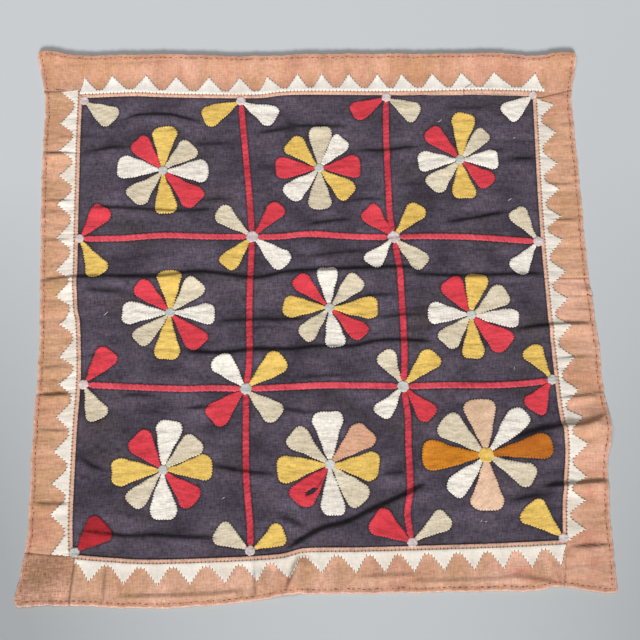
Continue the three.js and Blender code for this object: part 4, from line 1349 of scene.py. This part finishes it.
def thread(name, light, dark):
    """Twisted cotton thread: two shades that alternate along each stitch."""
    material, tree = new_material(name)
    weave = add(tree, "ShaderNodeAttribute", attribute_name="weave").outputs["Vector"]
    twist = add(tree, "ShaderNodeTexNoise", {"Scale": 1.1, "Detail": 1.0}, {"Vector": weave}).outputs[0]
    plies = add(tree, "ShaderNodeMapRange", {"From Min": 0.35, "From Max": 0.65}, {"Value": twist}).outputs[0]
    colour = add(tree, "ShaderNodeMix", {MIX_A: linear(dark), MIX_B: linear(light)}, {MIX_FACTOR: plies},
                 data_type="RGBA").outputs[MIX_RESULT]
    fibre = add(tree, "ShaderNodeBsdfPrincipled", {"Roughness": 0.75, "IOR": 1.53, "Specular IOR Level": 0.3},
                {"Base Color": colour})
    add(tree, "ShaderNodeOutputMaterial", None, {"Surface": fibre.outputs["BSDF"]})
    return material


def stitch_patch(paths, radius, cloth):
    """Thin three-sided tubes along paths of equally many points."""
    paths = np.asarray(paths, float)
    count, points, _ = paths.shape
    run = paths[:, -1, :2] - paths[:, 0, :2]
    run /= np.hypot(*run.T)[:, None]
    side = np.column_stack([-run[:, 1], run[:, 0], np.zeros(count)])[:, None]
    thick = radius * np.r_[THIN_END, np.ones(points - 2), THIN_END][None, :, None]
    tube = np.stack([paths - side * thick, paths + side * thick, paths + thick * np.array([0, 0, 1.0])], 2)
    number = np.arange(count * points * 3).reshape(count, points, 3)
    faces = []
    for a, b in ((0, 1), (1, 2), (2, 0)):
        band = number[:, :-1, a], number[:, :-1, b], number[:, 1:, b], number[:, 1:, a]
        faces += np.stack(band, -1).reshape(-1, 4).tolist()
    faces += number[:, 0, [0, 2, 1]].tolist() + number[:, -1].tolist()
    points = tube.reshape(-1, 3)
    return Patch(points, faces, weave=points, edge=0.0, cloth=cloth)


def whip(stitches, inside, outside, top):
    """Paths of whip stitches over an edge: from the cloth below, over the rim, into the piece."""
    paths = []
    for at, inwards, below in stitches:
        a, b, c = at - inwards * outside, at + inwards * RIM_PLACE, at + inwards * inside
        paths.append([(*a, below + OUT_OF_CLOTH), (*b, below + top), (*c, below + top - INTO_PIECE)])
    return paths


def sew(name, patches):
    """Stitches or loose ends of one kind as one piece of thread."""
    piece = make_piece("thread", name, patches)


# %% Where the margin, the hem and the seams are stitched
MARGIN_PITCH = 6.5
SEAM_PITCH = 4.6
SEAM_SUNK = 0.9
SEAM_BETWEEN = (0.3, 0.97)
MARGIN_STRAY = 1.5
MARGIN_END, HEM_END = 8.0, 6.0
HEM_STRAY, HEM_ASIDE = 1.4, 0.8
HEM_STITCH_HALF = (1.0, 3.2)
HEM_RISE = np.array([-0.2, 0.35, 0.45, 0.35, -0.2])
margin_stitches = []
for line in GROUND.values():
    out = outwards_of(line)
    places = np.arange(MARGIN_END, run_along(line)[-1] - MARGIN_END, MARGIN_PITCH)
    for at in places + chance.uniform(-MARGIN_STRAY, MARGIN_STRAY, len(places)):
        i = int(np.searchsorted(run_along(line), at))
        margin_stitches.append((line[i], out[i], float(lie(*line[i])) + CLOTH))

stitch_line = outer_loop - HEM_STITCH_LINE * outwards_of(outer_loop)
gone = run_along(stitch_line)
hem_paths = []
for at in np.arange(HEM_END, gone[-1] - HEM_END, HEM_PITCH):
    at = at + chance.uniform(-HEM_STRAY, HEM_STRAY)
    half = chance.uniform(*HEM_STITCH_HALF)
    outwards = outwards_of(outer_loop)[int(np.searchsorted(gone, at))]
    aside = chance.uniform(-HEM_ASIDE, HEM_ASIDE) * outwards
    spots = np.linspace(at - half, at + half, len(HEM_RISE))
    x, y = (points_at(spots, gone, stitch_line) + aside).T
    hem_paths.append(np.column_stack([x, y, lie(x, y) + CLOTH + HEM_RISE]))

seam_stitches = []
for name in ("right", "top_right"):
    line = stretch(seam_line[name], *SEAM_BETWEEN)
    for at in np.arange(0, run_along(line)[-1], SEAM_PITCH):
        i = int(np.searchsorted(run_along(line), at))
        below = float(border_top(*line[i][:, None])[0]) - SEAM_SUNK
        seam_stitches.append((line[i], outwards_of(line)[i], below))
print(len(margin_stitches), "margin,", len(hem_paths), "hem and", len(seam_stitches), "seam stitches")

# %% Whip stitches and the hem's running stitch
dark_thread = thread("dark_cotton_thread", "#4a3f47", "#2c252b")
brown_thread = thread("brown_cotton_thread", "#8a6450", "#5f4235")
hem_thread = thread("red_brown_cotton_thread", "#ab5844", "#7d3c2f")
pink_thread = thread("pink_cotton_thread", "#edb79e", "#c98a74")
narrow_stitches = strip_stitches + disc_stitches
Sewn = namedtuple("Sewn", "name paths radius thread")
for sewn in [
    Sewn("petal_whip_stitches", whip(petal_stitches, inside=1.0, outside=0.8, top=1.5), 0.28, dark_thread),
    Sewn("strip_whip_stitches", whip(narrow_stitches, inside=1.2, outside=0.7, top=1.5), 0.25, dark_thread),
    Sewn("tooth_whip_stitches", whip(tooth_stitches, inside=1.4, outside=1.9, top=1.5), 0.6, brown_thread),
    Sewn("margin_whip_stitches", whip(margin_stitches, inside=1.6, outside=0.6, top=2.1), 0.3, dark_thread),
    Sewn("hem_running_stitches", hem_paths, 0.75, hem_thread),
    Sewn("seam_whip_stitches", whip(seam_stitches, inside=1.8, outside=1.8, top=1.5), 0.8, pink_thread),
]:
    sew(sewn.name, [stitch_patch(sewn.paths, sewn.radius, sewn.thread)])
print("thread", made_triangles["thread"], "triangles")

# %% [markdown]
# ## Loose ends and lint
#
# An old panel sheds: a thread end sticks out of the hem, one lies on the white strip, and short white fibres
# have settled on the dark ground. Each is a bent tube that lies on whatever is under it.

# %% Thread ends and lint
LooseEnd = namedtuple("LooseEnd", "colour lift radius path")
LOOSE_ENDS = [
    LooseEnd("brown", 2.4, 0.8, [(462, 13), (465, 11), (469, 9), (472, 12)]),
    LooseEnd("dark", 4.6, 0.45, [(288, 404), (277, 398), (272, 388), (274, 380)]),
    LooseEnd("white", 3.2, 0.6, [(64, -231), (66, -226), (69, -221), (71, -218)]),
    LooseEnd("white", 1.9, 0.55, [(-353, -5), (-350, -3), (-347, 0), (-346, 2)]),
    LooseEnd("white", 1.9, 0.55, [(225, 334), (228, 335), (230, 337), (232, 340)]),
    LooseEnd("white", 1.9, 0.6, [(339, 184), (341, 186), (343, 187), (346, 188)]),
    LooseEnd("white", 1.9, 0.5, [(331, -113), (332, -112), (332, -111), (333, -109)]),
    LooseEnd("white", 1.9, 0.55, [(262, -364), (263, -363), (264, -362), (264, -360)]),
    LooseEnd("white", 1.9, 0.55, [(269, -364), (270, -364), (272, -364), (273, -363)]),
    LooseEnd("white", 1.9, 0.6, [(-153, -318), (-152, -317), (-151, -316), (-149, -316)]),
    LooseEnd("white", 1.9, 0.5, [(355, 299), (356, 300), (357, 301), (358, 301)]),
]
white_fibre = thread("white_cotton_lint", "#f4efe6", "#d9d2c6")
end_cloth = {"brown": hem_thread, "dark": dark_thread, "white": white_fibre}
end_patches = []
for end in LOOSE_ENDS:
    path = np.array(end.path, float)
    path = np.column_stack([path, np.atleast_1d(lie(*path.T)) + end.lift])
    end_patches.append(stitch_patch([path], end.radius, end_cloth[end.colour]))
sew("loose_ends_and_lint", end_patches)
print(len(end_patches), "loose ends and pieces of lint")

# %% [markdown]
# ## Floor and light
#
# The panel lies on a plain pale floor whose colour holds painted light: painted lighter towards the far side
# and painted darker towards the near corners. A broad soft light comes from the near side, so the far side of
# each fold and the floor behind the curled hem are dark, and a weaker one from above fills the shadows.

# %% Floor
FLOOR_HALF = 5.0
FLOOR_LEVEL = -0.0002
# How dark the painted shade at the near corners gets.
DEEPEST_CORNER_SHADE = 0.58


def pale_floor():
    """Sealed floor with painted light: lighter towards the far side, and painted shade to the near left and
    right.
    """
    material, tree = new_material("pale_sealed_floor")
    place = add(tree, "ShaderNodeTexCoord").outputs["Object"]
    parts = add(tree, "ShaderNodeSeparateXYZ", None, {"Vector": place}).outputs
    cloud = add(tree, "ShaderNodeTexNoise", {"Scale": 1.5, "Detail": 3.0}, {"Vector": place}).outputs[0]
    # Painted light: the floor is painted lighter towards the far side, with faint clouds.
    cloudy = add(tree, "ShaderNodeMath", {1: 0.4}, {0: cloud, 2: parts["Y"]}, operation="MULTIPLY_ADD")
    far = add(tree, "ShaderNodeMapRange", {"From Min": -0.3, "From Max": 0.8}, {"Value": cloudy.outputs[0]})
    even = add(tree, "ShaderNodeMix", {MIX_A: linear("#c2c5c7"), MIX_B: linear("#cbced1")},
               {MIX_FACTOR: far.outputs[0]}, data_type="RGBA").outputs[MIX_RESULT]
    # Painted shade, darker towards the near left and right corners.
    aside = add(tree, "ShaderNodeMath", {1: 0.09}, {0: parts["X"]}, operation="SUBTRACT").outputs[0]
    square = add(tree, "ShaderNodeMath", None, {0: aside, 1: aside}, operation="MULTIPLY").outputs[0]
    near = add(tree, "ShaderNodeMapRange", {"From Min": 0.25, "From Max": -0.55, "To Max": 2.0},
               {"Value": parts["Y"]}).outputs[0]
    painted_light = add(tree, "ShaderNodeMath", None, {0: square, 1: near}, operation="MULTIPLY").outputs[0]
    painted_corner_shade = add(tree, "ShaderNodeMath", {1: DEEPEST_CORNER_SHADE}, {0: painted_light}, operation="MINIMUM").outputs[0]
    colour = add(tree, "ShaderNodeMix", {MIX_B: linear("#8a8d8f")}, {MIX_FACTOR: painted_corner_shade, MIX_A: even},
                 data_type="RGBA").outputs[MIX_RESULT]
    surface = add(tree, "ShaderNodeBsdfPrincipled",
                  {"Roughness": 0.5, "IOR": 1.45, "Specular IOR Level": 0.4}, {"Base Color": colour})
    add(tree, "ShaderNodeOutputMaterial", None, {"Surface": surface.outputs["BSDF"]})
    return material


floor_mesh = bpy.data.meshes.new("floor")
corners = [(x * FLOOR_HALF, y * FLOOR_HALF, FLOOR_LEVEL) for x, y in ((-1, -1), (1, -1), (1, 1), (-1, 1))]
floor_mesh.from_pydata(corners, [], [(0, 1, 2, 3)])
floor_mesh.materials.append(pale_floor())
floor = bpy.data.objects.new("floor", floor_mesh)


# %% Lights and world
def hang(name, kind, energy, direction):
    """A light that shines in one direction."""
    data = bpy.data.lights.new(name, kind)
    data.energy = energy
    light = bpy.data.objects.new(name, data)
    light.rotation_mode = "QUATERNION"
    light.rotation_quaternion = Vector(direction).to_track_quat("-Z", "Y")
    return light


KEY_SOFTNESS = math.radians(16)
ROOM_LIGHT = 0.095
key = hang("near_low_light", "SUN", energy=2.78, direction=(0.05, 0.85, -0.72))
key.data.angle = KEY_SOFTNESS
top = hang("overhead_soft_light", "AREA", energy=27, direction=(0.3, 0.1, -2.5))
top.location = (-0.3, 0.1, 2.5)
top.data.size = 2.0
for thing in (floor, key, top):
    bpy.context.scene.collection.objects.link(thing)
world = bpy.data.worlds.new("even_room_light")
world.use_nodes = True
background = world.node_tree.nodes["Background"].inputs
background["Color"].default_value = linear("#f2f4f6")
background["Strength"].default_value = ROOM_LIGHT
bpy.context.scene.world = world
print("key light", key.data.energy, "overhead", top.data.energy, "W")

# %% [markdown]
# ## Triangles
#
# Last, the number of triangles of each kind is printed.

# %% Count triangles
print("triangles", made_triangles, sum(made_triangles.values()))
